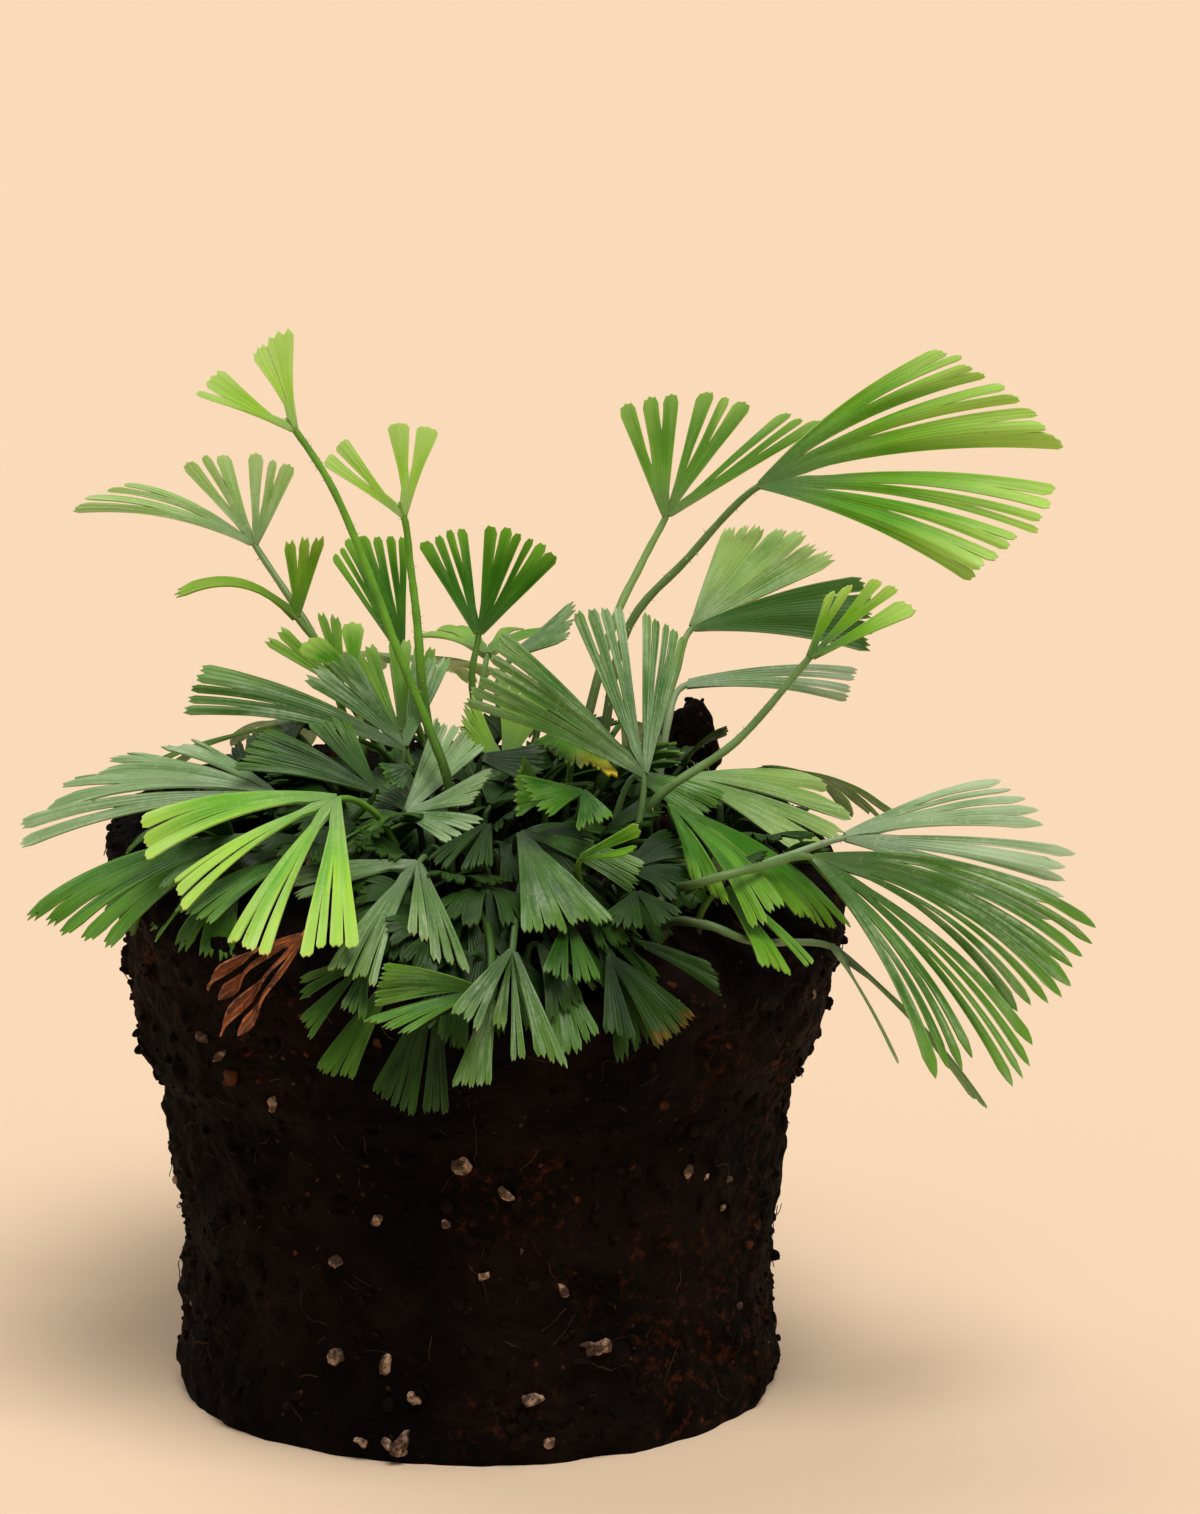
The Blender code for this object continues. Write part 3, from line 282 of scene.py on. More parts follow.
FRONDS = [
    Frond(
        "tall_left", "lime", (-1.5, -7),
        [(-2, -7, 48), (-3.5, -5.5, 52), (-6, -4, 58), (-7.5, -3, 62), (-10.5, -1.5, 69)], (-13.5, 0, 73.5),
        [((-21, 0, 76.5), (-19.5, 0.5, 78), 2, 0), ((-16.5, 1, 79.5), (-14, 1, 81), 2, 0)],
    ),
    Frond(
        "tall_mid", "lime", (-2.5, -0.5), [(-4, 0.5, 53), (-4.5, 2, 58.5), (-5, 3, 62.5)], (-5.5, 3, 66.5),
        [((-11.5, 3, 70.5), (-10, 3, 72.5), 2, 0), ((-6.5, 3.5, 73.5), (-3, 3.5, 73), 2, 0)],
    ),
    Frond(
        "back_left_high", "dark", (-6, 9), [(-11.5, 10, 53.5), (-13.5, 13, 56.5)], (-17.5, 16, 62),
        [((-32.5, 17, 64), (-27.5, 18, 66.5), 4, 0.08), ((-23.5, 18, 68), (-19.5, 18, 69), 3, 0),
         ((-18, 17.5, 69), (-14, 17, 68), 3, 0)],
    ),
    Frond(
        "back_left_olive", "olive", (-8.5, 4.5), [(-11.5, 7.5, 54)], (-14, 9.5, 57.5),
        [((-23.5, 7, 59), (-23, 8, 60), 1, 0.2), ((-15, 10, 63.5), (-11.5, 10, 64), 3, 0)],
    ),
    Frond(
        "lime_small_left", "lime", (-6, 1.5), [(-8, 2.5, 51)], (-9.5, 3.5, 54.5),
        [((-14, 3, 56), (-12, 3.5, 57.5), 1, 0), ((-10.5, 4.5, 58), (-8.5, 4.5, 58), 1, 0)],
    ),
    Frond(
        "dark_behind_lime", "dark", (-8.5, 1.5), [(-9, 5, 50.5)], (-10.5, 6, 53),
        [((-16.5, 6.5, 56), (-15, 7, 57.5), 2, 0), ((-12.5, 7.5, 58.5), (-10.5, 7.5, 58), 2, 0)],
    ),
    Frond(
        "back_mid_left", "dark", (-2.5, 6), [(-5.5, 8, 51.5)], (-6, 9.5, 55),
        [((-11.5, 11, 62), (-10, 12, 63.5), 3, 0), ((-9.5, 12, 63.5), (-5.5, 12, 63.5), 4, 0)],
    ),
    Frond(
        "back_mid", "dark", (1, 8), [(-0.5, 9, 52)], (0, 10.5, 56),
        [((-5, 12, 63), (-1, 13, 64), 4, 0), ((0.5, 12, 64.5), (6.5, 11, 62), 6, 0)],
    ),
    Frond(
        "back_mid_low", "grey", (4, 6), [(1.5, 7, 51.5)], (3, 8, 55),
        [((7.5, 9.5, 59), (7, 7.5, 56), 3, 0)],
    ),
    Frond(
        "centre_fan", "grey", (11.5, -8.5), [(12, -9.5, 44.5)], (12.5, -8, 49),
        [((-1, -12, 55), (2, -10.5, 60.5), 7, 0.03), ((7, -1, 60), (11, 0, 60.5), 4, 0),
         ((12.5, 1, 60), (16, 1, 58), 5, 0)],
    ),
    Frond(
        "right_bright", "bright", (9, 3), [(11, 7, 56), (16, 7, 62.5)], (21.5, 5, 68.5),
        [((35.5, 4, 79.5), (45.5, 2, 71.5), 9, 0.06), ((44.5, 1, 69), (38.5, -1, 61), 9, 0.05)],
    ),
    Frond(
        "back_right_high", "dark", (7, 8), [(10, 14, 55), (12.5, 18, 60)], (14.5, 20, 63.5),
        [((10.5, 22, 72), (15.5, 23, 73), 3, 0), ((17, 23, 73), (21.5, 23, 72), 3, 0),
         ((23.5, 22, 71.5), (27.5, 21, 71), 3, 0)],
    ),
    Frond(
        "back_right_pale", "grey", (12, 7), [(15, 10, 52.5)], (16.5, 13, 56),
        [((19, 17, 63.5), (28.5, 15, 61), 7, 0), ((30, 13, 60), (31.5, 10, 54), 5, 0.05)],
    ),
    Frond(
        "right_grey_low", "grey", (13.5, 3.5), [(14.5, 6, 50)], (16, 8, 52.5),
        [((29.5, 9, 53.5), (29, 7.5, 51), 4, 0.05)],
    ),
    Frond(
        "right_lime", "lime", (13, -6), [(13.5, -8, 47), (19.5, -6, 51)], (25, -4, 57),
        [((26.5, -4, 62), (28, -3.5, 62.5), 2, 0), ((30, -4, 63), (31.5, -4.5, 62.5), 2, 0),
         ((32, -5, 61.5), (33, -6, 61), 1, 0)],
    ),
    Frond(
        "right_mid", "green", (15.5, 0), [], (16, -1, 47),
        [((26, 4, 46), (29, 2, 42.5), 6, 0.05), ((28.5, 1, 42), (24.5, -2, 41), 3, 0.05)],
    ),
    Frond(
        "right_silver", "grey", (14.5, -11), [(16, -15, 43.5), (20.5, -15, 43.5)], (27.5, -12, 45),
        [((39.5, -4, 47.5), (43, -6, 44.5), 5, 0.04), ((45.5, -7.5, 42.5), (43.5, -10, 38), 6, 0.03)],
    ),
    Frond(
        "right_green_low", "green", (14.5, -13.5), [(16.5, -20.5, 43.5), (21, -19.5, 44.5)], (25, -14.5, 44),
        [((46.5, -12, 37.5), (45, -13, 33), 5, 0.1), ((43.5, -14, 33), (40.5, -15, 32), 4, 0.12),
         ((42, -16, 29), (40, -17, 26.5), 4, 0.1), ((37, -18.5, 29), (34, -20, 28), 4, 0.12)],
    ),
    Frond(
        "right_low", "bright", (14, -17.5), [(17, -21, 40.5), (20.5, -20, 39)], (26.5, -13.5, 37),
        [((38.5, -12, 24), (37, -13, 25), 2, 0.06), ((31.5, -16, 28.5), (31, -17, 29.5), 1, 0.05)],
    ),
    Frond(
        "right_front", "bright", (16, -6), [], (14.5, -11, 47),
        [((28, -10, 37), (24, -15, 39), 5, 0.12), ((23, -21.5, 41.5), (20.5, -22.5, 40.5), 4, 0.08),
         ((19, -21, 41.5), (16, -17.5, 43), 4, 0.08)],
    ),
    Frond(
        "right_front_low", "bright", (16.5, -15.5), [], (18.5, -16.5, 42),
        [((25, -20.5, 37.5), (24.5, -21, 37), 2, 0.05), ((23.5, -23, 37), (21, -24.5, 38), 3, 0.05)],
    ),
    Frond(
        "front_left_lime", "lime", (-6, -9), [(-6, -9.5, 44), (-7.5, -12, 47)], (-10, -15, 48.5),
        [((-8, -30, 40.5), (-12, -30.5, 40), 4, 0.04), ((-14.5, -29, 40), (-17.5, -27.5, 40.5), 3, 0.06),
         ((-21, -23, 42), (-22, -21, 43.5), 3, 0.06), ((-24, -19, 44.5), (-24.5, -16, 47), 3, 0.08)],
    ),
    Frond(
        "left_dark_under", "dark", (-10.5, -11), [], (-12.5, -15, 44.5),
        [((-19, -22, 40.5), (-22, -21.5, 41.5), 4, 0.06)],
    ),
    Frond(
        "left_far", "grey", (-12.5, -3), [], (-15, -7, 47),
        [((-34, -9, 43.5), (-34.5, -8, 45), 2, 0.06), ((-33, -6, 45.5), (-26.5, -3, 48.5), 6, 0.08),
         ((-24, -1, 49.5), (-21.5, 0, 49.5), 3, 0.05)],
    ),
    Frond(
        "left_low", "green", (-13, -9), [], (-15.5, -12, 45),
        [((-27.5, -18, 37.5), (-33, -15, 39.5), 5, 0.1)],
    ),
    Frond(
        "left_long", "grey", (-7, -1.5), [], (-5.5, -1, 49.5),
        [((-22.5, -0.5, 52), (-21.5, 0.5, 55.5), 5, 0.06), ((-13.5, 0.5, 54.5), (-10, 1.5, 56.5), 4, 0.04),
         ((-4.8, 6, 55.5), (-2, 6, 55), 3, 0)],
    ),
    Frond(
        "left_dark", "dark", (-10.5, -6.5), [], (-7.5, -7.5, 47.5),
        [((-18.5, -7.5, 49), (-16, -5, 52), 6, 0.05), ((-13, -3, 52), (-9.5, -2.5, 52), 4, 0)],
    ),
    Frond(
        "left_deep", "dark", (-4, 3.6), [], (-6, 5, 49.5),
        [((-10.5, 7.5, 54), (-8, 8.5, 56), 3, 0), ((-7, 8.5, 56.5), (-3, 8, 55.5), 4, 0)],
    ),
    Frond(
        "middle_deep", "dark", (5, -6.2), [], (5, -7.5, 47),
        [((3, -11, 46), (3.5, -8, 50.5), 5, 0.03)],
    ),
    Frond(
        "right_deep", "grey", (10, -5.5), [], (12, -4, 48),
        [((19, -3.5, 46.5), (16.5, -4.8, 44), 5, 0.04)],
    ),
    Frond(
        "centre_silver", "grey", (-5.5, -6), [], (-5, -8.5, 46),
        [((-2, -13, 44.5), (1, -12, 46.5), 4, 0.03), ((0, -11.5, 47.5), (1.5, -9, 50), 5, 0),
         ((1, 0, 49.5), (-3, 0, 52), 6, 0)],
    ),
    Frond(
        "small_dark", "dark", (-3, -4), [], (-5, -4, 48.5),
        [((-5.5, -5.5, 47), (-7.5, -4.5, 49), 4, 0)],
    ),
    Frond(
        "centre_green", "green", (7, -9.5), [], (8, -13, 48.5),
        [((10.5, -17, 47.5), (7.5, -18, 46.5), 4, 0.03), ((5.5, -17.5, 47.5), (2.5, -16, 50.5), 5, 0.03)],
    ),
    Frond(
        "centre_yellow_tip", "yellow", (6.5, -3), [], (7.5, -1.5, 51.5),
        [((11, -9.5, 48.5), (4, -7.5, 51), 7, 0)],
    ),
    Frond(
        "lime_bud", "lime", (8, -16.5), [], (8, -19, 45),
        [((12, -20, 48), (12.5, -20, 47), 1, 0), ((12.5, -20.5, 46.5), (11, -20.5, 45.5), 1, 0)],
    ),
    Frond(
        "centre_dark", "grey", (3, -10), [], (3.5, -13.5, 45.5),
        [((13, -17, 44), (12, -18, 42), 4, 0.04), ((10.5, -25, 41), (4, -26.5, 40.5), 8, 0.04)],
    ),
    Frond(
        "left_front_silver", "grey", (-3.5, -11.5), [], (-4, -19, 44.5),
        [((0, -28.5, 38.5), (-2.5, -28.5, 39.5), 3, 0.05), ((-3, -27, 40.5), (-4.5, -27, 41), 2, 0.05),
         ((-7, -30, 38), (-10.5, -29, 38.5), 6, 0.06), ((-13, -20, 42), (-14, -17, 43.5), 3, 0.04)],
    ),
    Frond(
        "front_left_green", "green", (0, -14.5), [(1.5, -26, 39.5)], (0.5, -28.5, 37.5),
        [((-4.5, -32, 35), (-8, -32, 36), 3, 0.03), ((-7, -32, 37), (-6.5, -32, 40.5), 5, 0.03)],
    ),
    Frond(
        "front_mid", "grey", (3.5, -15.5), [], (3, -27.5, 40),
        [((7, -32.5, 32.5), (5, -33, 33.5), 3, 0.04), ((4, -32, 33), (3, -32, 33), 2, 0.04),
         ((2.5, -30, 34.5), (1.5, -30, 35), 1, 0.04), ((0.5, -33, 35.5), (-1.5, -32.5, 36.5), 3, 0.04)],
    ),
    Frond(
        "front_low_silver", "grey", (2.5, -21), [], (1.5, -28, 36.5),
        [((1.5, -31, 31), (-1.5, -31, 30.5), 5, 0.04)],
    ),
    Frond(
        "front_low_dark", "dark", (-2, -19.5), [], (-2.5, -28, 37.5),
        [((-1.5, -29.5, 28.5), (-3.5, -29.5, 28), 3, 0.02), ((-4, -29.5, 28), (-7.5, -29, 29.5), 5, 0.02)],
    ),
    Frond(
        "front_low_left", "dark", (-5.5, -19), [], (-6, -27, 37.5),
        [((-8.5, -28, 30.5), (-11.5, -27, 31), 5, 0.03)],
    ),
    Frond(
        "front_far_left", "dark", (-9, -17), [], (-7.5, -26.5, 39),
        [((-7.5, -28.5, 35), (-9.5, -28.5, 36), 3, 0.03), ((-11.5, -28, 33.5), (-12.5, -27.5, 35), 3, 0.03),
         ((-12.5, -27, 36), (-12.5, -26.5, 38), 2, 0.03)],
    ),
    Frond(
        "front_right_silver", "grey", (4.5, -18.5), [], (6, -25, 38.5),
        [((9.5, -28.5, 34), (5.5, -29.5, 32), 5, 0.04)],
    ),
    Frond(
        "front_right_green", "green", (6.5, -14), [], (7, -23, 41),
        [((9.5, -28, 38), (7.5, -28.5, 37.5), 3, 0.03), ((7, -28.5, 38), (5, -28.5, 38.5), 3, 0.03)],
    ),
    Frond(
        "front_right_orange", "yellow", (9, -19.5), [], (10, -25, 39),
        [((16.5, -27, 35), (13.5, -27.5, 32.5), 5, 0.03), ((12, -28, 33.5), (9.5, -28.5, 34), 3, 0.03)],
    ),
    Frond(
        "front_right_dark", "dark", (11.5, -20.5), [], (12.5, -23, 39.5),
        [((17.5, -25, 38.5), (18.5, -26, 36), 5, 0.03)],
    ),
    Frond(
        "dead_left", "dead", (-11, -18.5), [], (-12, -26.5, 41),
        [((-16.5, -27.5, 33.5), (-19, -26.5, 33.5), 2, 0.03),
         ((-18, -25.5, 35.5), (-20, -24, 36.5), 2, 0.08)],
    ),
    Frond(
        "filler_front", "dark", (-0.5, -10.5), [], (1, -13.2, 46),
        [((1.5, -19.5, 44.5), (-1, -20, 44), 4, 0.05), ((-2, -19.5, 44), (-3.5, -17.5, 44.5), 3, 0.05)],
    ),
    Frond(
        "filler_right", "dark", (10.5, -17.5), [], (12, -20, 42.5),
        [((15.5, -21.5, 41.5), (13.5, -23, 40.5), 3, 0.04), ((12.5, -23.5, 40.5), (9, -23, 41), 4, 0.05)],
    ),
    Frond(
        "filler_back", "dark", (1, 2.5), [], (2, 2.5, 47.5),
        [((-1.5, 2, 50), (-0.5, 4, 53), 4, 0), ((1.5, 5, 54.5), (6.5, 4.5, 53), 5, 0)],
    ),
    Frond(
        "filler_mid_left", "dark", (0.2, -1), [], (0.5, -0.5, 48.5),
        [((4.5, -2, 46.5), (5.5, 0.5, 49.5), 4, 0)],
    ),
    Frond(
        "right_shadow", "dark", (11, -11.5), [], (12.5, -12, 43.5),
        [((16.5, -11, 45), (16, -12.5, 43), 5, 0.04)],
    ),
    Frond(
        "rear_left", "green", (-11, 8), [], (-15, 16, 47.5),
        [((-29, 17, 42), (-25, 26, 41), 4, 0.08), ((-21, 30, 42.5), (-13, 34, 42), 4, 0.08)],
    ),
    Frond(
        "rear_mid_left", "grey", (-5.5, 12.5), [], (-7, 20, 52),
        [((-15, 33, 49), (-8, 37, 48), 4, 0.05), ((-5, 38, 47), (2, 36, 47), 4, 0.05)],
    ),
    Frond(
        "rear_mid", "dark", (-1, 12), [], (0.5, 17, 53),
        [((-6, 29, 52), (-1, 33, 52), 3, 0.05), ((2, 33, 52), (7, 30, 52), 3, 0.05)],
    ),
    Frond(
        "rear_mid_right", "dark", (3.5, 12.5), [], (5, 20, 48.5),
        [((-1, 37, 42), (8, 37, 42), 5, 0.1)],
    ),
    Frond(
        "rear_right", "green", (8.5, 12.5), [], (11, 20, 47),
        [((11, 36.5, 38.5), (19, 33, 38.5), 4, 0.1)],
    ),
    Frond(
        "rear_far_right", "green", (16, 6.5), [], (22, 12, 45),
        [((29, 24, 38.5), (33.5, 16, 39.5), 5, 0.1)],
    ),
]


def unit(vector):
    return vector / np.linalg.norm(vector)


def smooth(share):
    share = np.clip(share, 0.0, 1.0)
    return share * share * (3 - 2 * share)


def top_height(x, y):
    """Height of the soil's top before its fine roughness."""
    radius = SIDE_LEVELS[-1][1]
    outward = max(0.0, (math.hypot(x, y) - DIP_START) / (radius - DIP_START))
    forward = max(0.0, min(1.0, (DIP_WAY[0] * x + DIP_WAY[1] * y) / radius + DIP_REACH))
    dip = FRONT_DIP * outward**DIP_CURVE * forward
    return TOP_HEIGHT + TOP_RISE_BACK * y / radius - TOP_RISE_LEFT * x / radius - dip


def rough(point, size, amount):
    """A smooth, repeatable bump of up to about the given amount."""
    return amount * noise.noise(Vector(point) / size)


class Lobe:
    """One lobe of a fan as a surface: across runs 0 to 1, and along 0 at the fork to 1 at the tips."""

    def __init__(self, fork, first, last, segments, arch):
        self.cut = SHORT_CUT
        self.tone = self.fold = 0.0
        self.first_flare = self.last_flare = 0.0
        self.fork = np.array(fork, float)
        self.first = np.array(first, float) - self.fork
        self.last = np.array(last, float) - self.fork
        self.segments = segments
        self.arch = arch
        self.length = np.linalg.norm(self.first + self.last) / 2
        self.breadth = np.linalg.norm(self.last - self.first)
        self.pitch = self.breadth / segments
        self.levels = slit_levels(segments)
        self.borders = np.linspace(0, 1, segments + 1)
        self.middle = unit(unit(self.first) + unit(self.last))
        self.side = unit(self.last - self.first)
        up = np.array((0.0, 0.0, 1.0))
        self.lift = up - self.middle * (up @ self.middle)
        self.turn = math.acos(max(-1.0, min(1.0, float(unit(self.first) @ unit(self.last)))))

    def points(self, across, along):
        """Points for two arrays of one shape."""
        across, along = np.broadcast_arrays(across, along)
        across, along = across[..., None], along[..., None]
        across = 0.5 + (across - 0.5) * (1 - self.cut.waist * (1 - smooth(along)))
        length = (1 - across) * np.linalg.norm(self.first) + across * np.linalg.norm(self.last)
        bow = self.arch * length * 4 * along * (1 - along)
        flare = across * self.last_flare - (1 - across) * self.first_flare
        first, last = unit(self.first), unit(self.last)
        if self.turn < 1e-4:
            reach = length * first
        else:
            ways = np.sin((1 - across) * self.turn) * first + np.sin(across * self.turn) * last
            reach = length * ways / math.sin(self.turn)
        return self.fork + reach * along + self.lift * bow + self.side * flare * (1 - along)

    def normals(self, across, along):
        step = 1e-3
        along = np.maximum(along, 0.03)
        over = self.points(across + step, along) - self.points(across - step, along)
        out = self.points(across, along + step) - self.points(across, along - step)
        normal = np.cross(over, out)
        return normal / np.linalg.norm(normal, axis=-1, keepdims=True)

    def slit_start(self, slit):
        """Where a slit between two segments starts, or None where there is none."""
        if slit not in self.levels:
            return None
        start = self.cut.starts[self.levels[slit]]
        if start == UNCUT:
            return None
        start += SLIT_SCATTER * math.sin(7.3 * slit + 3.1 * self.first[0])
        return min(start, LATEST_SLIT - self.tooth_share - self.corner_share)

    @property
    def tooth_share(self):
        return min(LONGEST_TOOTH, self.cut.tooth * self.pitch / self.length)

    @property
    def corner_share(self):
        return min(WIDEST_CORNER, self.cut.corner * self.pitch / self.length)

    def opening(self, slit, along):
        """Half of a slit's gap, as a share of the lobe's width."""
        start = self.slit_start(slit)
        if start is None:
            return 0.0 * along
        beyond = np.clip(along - start, 0, None)
        gap = self.cut.open * SLIT_OPENING[self.levels[slit]] * self.pitch
        widening = NARROW_SLIT + (1 - NARROW_SLIT) * beyond / (1 - start)
        gap = gap * np.minimum(beyond / SLIT_MOUTH, 1) ** 0.7 * widening
        near = np.maximum(along, 0.1)
        return np.minimum(gap / (near * self.breadth), WIDEST_SLIT / self.segments)

    def groups(self, index):
        """The ever narrower groups that a segment belongs to: their borders and where they come free."""
        low, high, start, found = 0, self.segments, 0.0, []
        while high - low > 1:
            middle = (low + high) // 2
            low, high = (low, middle) if index < middle else (middle, high)
            start = max(start, self.slit_start(middle) or UNCUT)
            found.append((low, high, start))
        return found


def fan(frond):
    """The frond's lobes. Only the fan's two outer sides are flared at the fork, to the stem's width."""
    dice = random.Random("fan " + frond.name)
    lobes = [Lobe(frond.fork, *spread(lobe, SPREAD.get(frond.name, 1.0))) for lobe in frond.lobes]
    lobes[0].first_flare = lobes[-1].last_flare = BASE_HALF_WIDTH
    own = dice.uniform(*FROND_TONES)
    for number, lobe in enumerate(lobes):
        usual = LONG_CUT if lobe.length > SHORT_LOBE else SHORT_CUT
        keys = ((frond.name, number), frond.name, frond.tone)
        lobe.cut = next((CUTS[key] for key in keys if key in CUTS), usual)
        alike = [dice.uniform(1 - UNEVEN, 1 + UNEVEN) for _ in range(lobe.segments)]
        widths = np.array(WIDTHS.get((frond.name, number), alike), float)
        lobe.borders = np.concatenate([[0.0], np.cumsum(widths) / widths.sum()])
        lobe.tone = lobe.fold = own + dice.uniform(-TONE_SCATTER, TONE_SCATTER)
        if WITHERED.get(frond.name) == number:
            lobe.tone = WITHERED_TONE
        if SHADED.get(frond.name) == number:
            lobe.tone = SHADED_TONE
    return lobes


def spread(lobe, share):
    first, last = np.array(lobe[0], float), np.array(lobe[1], float)
    wider = (last - first) * (share - 1) / 2
    return (first - wider, last + wider, *lobe[2:])


def slit_levels(segments):
    """Each slit's level: the lobe parts in halves first, then those in theirs."""
    found = {}

    def halve(low, high, level):
        if high - low < 2:
            return
        middle = (low + high) // 2
        found[middle] = min(level, len(SLIT_OPENING) - 1)
        halve(low, middle, level + 1)
        halve(middle, high, level + 1)

    halve(0, segments, 0)
    return found


class Skin:
    """Points, faces and the values that the materials read, gathered for one mesh."""

    VALUES = ("along", "across", "rim", "tone")

    def __init__(self):
        self.points = []
        self.faces = []
        self.values = {name: [] for name in self.VALUES}
        self.count = 0

    def add(self, points, faces, **values):
        points = np.asarray(points, float).reshape(-1, 3)
        self.points.append(points)
        self.faces += [tuple(int(i) + self.count for i in face) for face in faces]
        for name in self.VALUES:
            self.values[name].append(np.broadcast_to(values.get(name, 0.0), len(points)).astype(float))
        self.count += len(points)

    def mesh(self, name):
        mesh = bpy.data.meshes.new(name)
        mesh.from_pydata((np.concatenate(self.points) * MM).tolist(), [], self.faces)
        for value, parts in self.values.items():
            layer = mesh.attributes.new(value, "FLOAT", "POINT")
            layer.data.foreach_set("value", np.concatenate(parts))
        return mesh


def smooth_path(points, steps):
    """Points along a smooth curve through the given ones, from the second to the last but one."""
    path = []
    for before, start, end, after in zip(points, points[1:], points[2:], points[3:]):
        for k in range(steps):
            t = k / steps
            bend = (2 * before - 5 * start + 4 * end - after) * t * t
            twist = (3 * start - before - 3 * end + after) * t**3
            path.append(0.5 * (2 * start + (end - before) * t + bend + twist))
    path.append(points[-2])
    return path


def tube_faces(rings, sides):
    """Quads between neighbouring rings of points."""
    faces = []
    for ring in range(rings - 1):
        for k in range(sides):
            a, b = ring * sides + k, ring * sides + (k + 1) % sides
            faces.append((a, b, b + sides, a + sides))
    return faces


def stem_path(frond, lobes):
    """Points from a stem's foot in the soil, past its bends and on into the blade."""
    x, y = frond.root
    fork = np.array(frond.fork, float)
    aim = unit(sum(lobe.middle for lobe in lobes))
    start = np.array((x, y, top_height(x, y) + STEM_UPRIGHT))
    bends = [np.array(bend, float) for bend in frond.bends]
    guide = [start - (0, 0, STEM_PULL), start, *bends, fork, fork + aim * STEM_PULL]
    foot = [start - (0, 0, STEM_IN_SOIL + STEM_UPRIGHT), start - (0, 0, STEM_STRAIGHT)]
    inside = STEM_INSIDE * min(lobe.length for lobe in lobes)
    return [*foot, *smooth_path(guide, STEM_STEPS), *(fork + aim * inside * share for share, _ in STEM_END)]


def add_stem(skin, frond, lobes):
    """A round stem out of the soil that flattens as it runs into the fan."""
    path = stem_path(frond, lobes)
    last = len(path) - 1
    ways = [unit(path[min(i + 1, last)] - path[max(i - 1, 0)]) for i in range(len(path))]
    side = unit(np.cross(ways[0], STEM_ACROSS))
    shares = np.clip(np.arange(len(path)) / (last - len(STEM_END)), 0, 1)
    length = sum(np.linalg.norm(after - before) for before, after in zip(path, path[1:]))
    thick = THINNEST_STEM + (THICKEST_STEM - THINNEST_STEM) * min(1.0, length / LONG_STEM)
    thinning = [1.0] * (len(path) - len(STEM_END)) + [width for _, width in STEM_END]
    angles = np.arange(STEM_SIDES) * 2 * math.pi / STEM_SIDES
    rings = []
    for i, (point, way, share) in enumerate(zip(path, ways, shares)):
        side = unit(side - way * (side @ way))
        other = np.cross(way, side)
        wobble = 1 + STEM_WOBBLE * math.sin(WOBBLE_STEP * i + frond.root[0])
        radius = thick * (1 - (1 - STEM_TAPER) * share) * wobble * thinning[i]
        rings.append(point + radius * (np.outer(np.cos(angles), side) + np.outer(np.sin(angles), other)))
    faces = tube_faces(len(rings), STEM_SIDES)
    faces.append(tuple(range(STEM_SIDES))[::-1])
    faces.append(tuple(last * STEM_SIDES + k for k in range(STEM_SIDES)))
    along = np.repeat(shares + STEM_FOOT_ALONG, STEM_SIDES)
    skin.add(np.concatenate(rings), faces, along=along, tone=lobes[0].tone)


def web_shift(lobe, across, along, before, after):
    """Draws a lobe's sides to its neighbours' near the fork, so that one web carries all the lobes."""
    fade = (1 - smooth((along - WEB_END) / WEB_FADE))[..., None]
    shift = np.zeros(across.shape + (3,))
    if before is not None:
        gap = before.points(np.ones_like(along), along) - lobe.points(np.zeros_like(along), along)
        shift += (smooth(1 - across) ** 2)[..., None] * fade * gap / 2
    if after is not None:
        gap = after.points(np.zeros_like(along), along) - lobe.points(np.ones_like(along), along)
        shift += (smooth(across) ** 2)[..., None] * fade * gap / 2
    return shift


def segment_grid(lobe, index, before, after, seed, dead):
    """One segment's middle surface as a grid of rows from the fork to its teeth."""
    dice = random.Random("%s %d" % (seed, index))
    sides = (lobe.slit_start(index), lobe.slit_start(index + 1))
    start = max((side for side in sides if side is not None), default=UNSLIT_START)
    teeth = 4 if lobe.pitch > FOUR_TEETH_WIDTH else 3 if lobe.pitch > THREE_TEETH_WIDTH else 2
    along = segment_rows(lobe, index, start, teeth, dice, seed)
    shares = np.broadcast_to(np.linspace(0, 1, 2 * teeth + 1), along.shape)
    low = lobe.borders[index] + lobe.opening(index, along)
    high = lobe.borders[index + 1] - lobe.opening(index + 1, along)
    across = low + (high - low) * shares
    points = lobe.points(across, along) + web_shift(lobe, across, along, before, after)
    bump = segment_bump(lobe, index, across, along, seed)
    if dead:
        free = np.clip((along - start) / (1 - start), 0, None)
        width = points[:, -1:] - points[:, :1]
        bump = bump + curl(np.linalg.norm(width, axis=-1), shares, along, free, index)
        points = points + 0.3 * (0.5 - shares)[..., None] * free[..., None] * width
    points = points + lobe.normals(across, along) * bump[..., None]
    rim = np.zeros_like(along)
    rim[:, 0] = edge_share(along[:, 0], sides[0], index == 0 and before is not None)
    rim[:, -1] = edge_share(along[:, -1], sides[1], index == lobe.segments - 1 and after is not None)
    rim[-1] = 1
    ribs = (index + shares) * teeth
    return points, along, ribs, rim


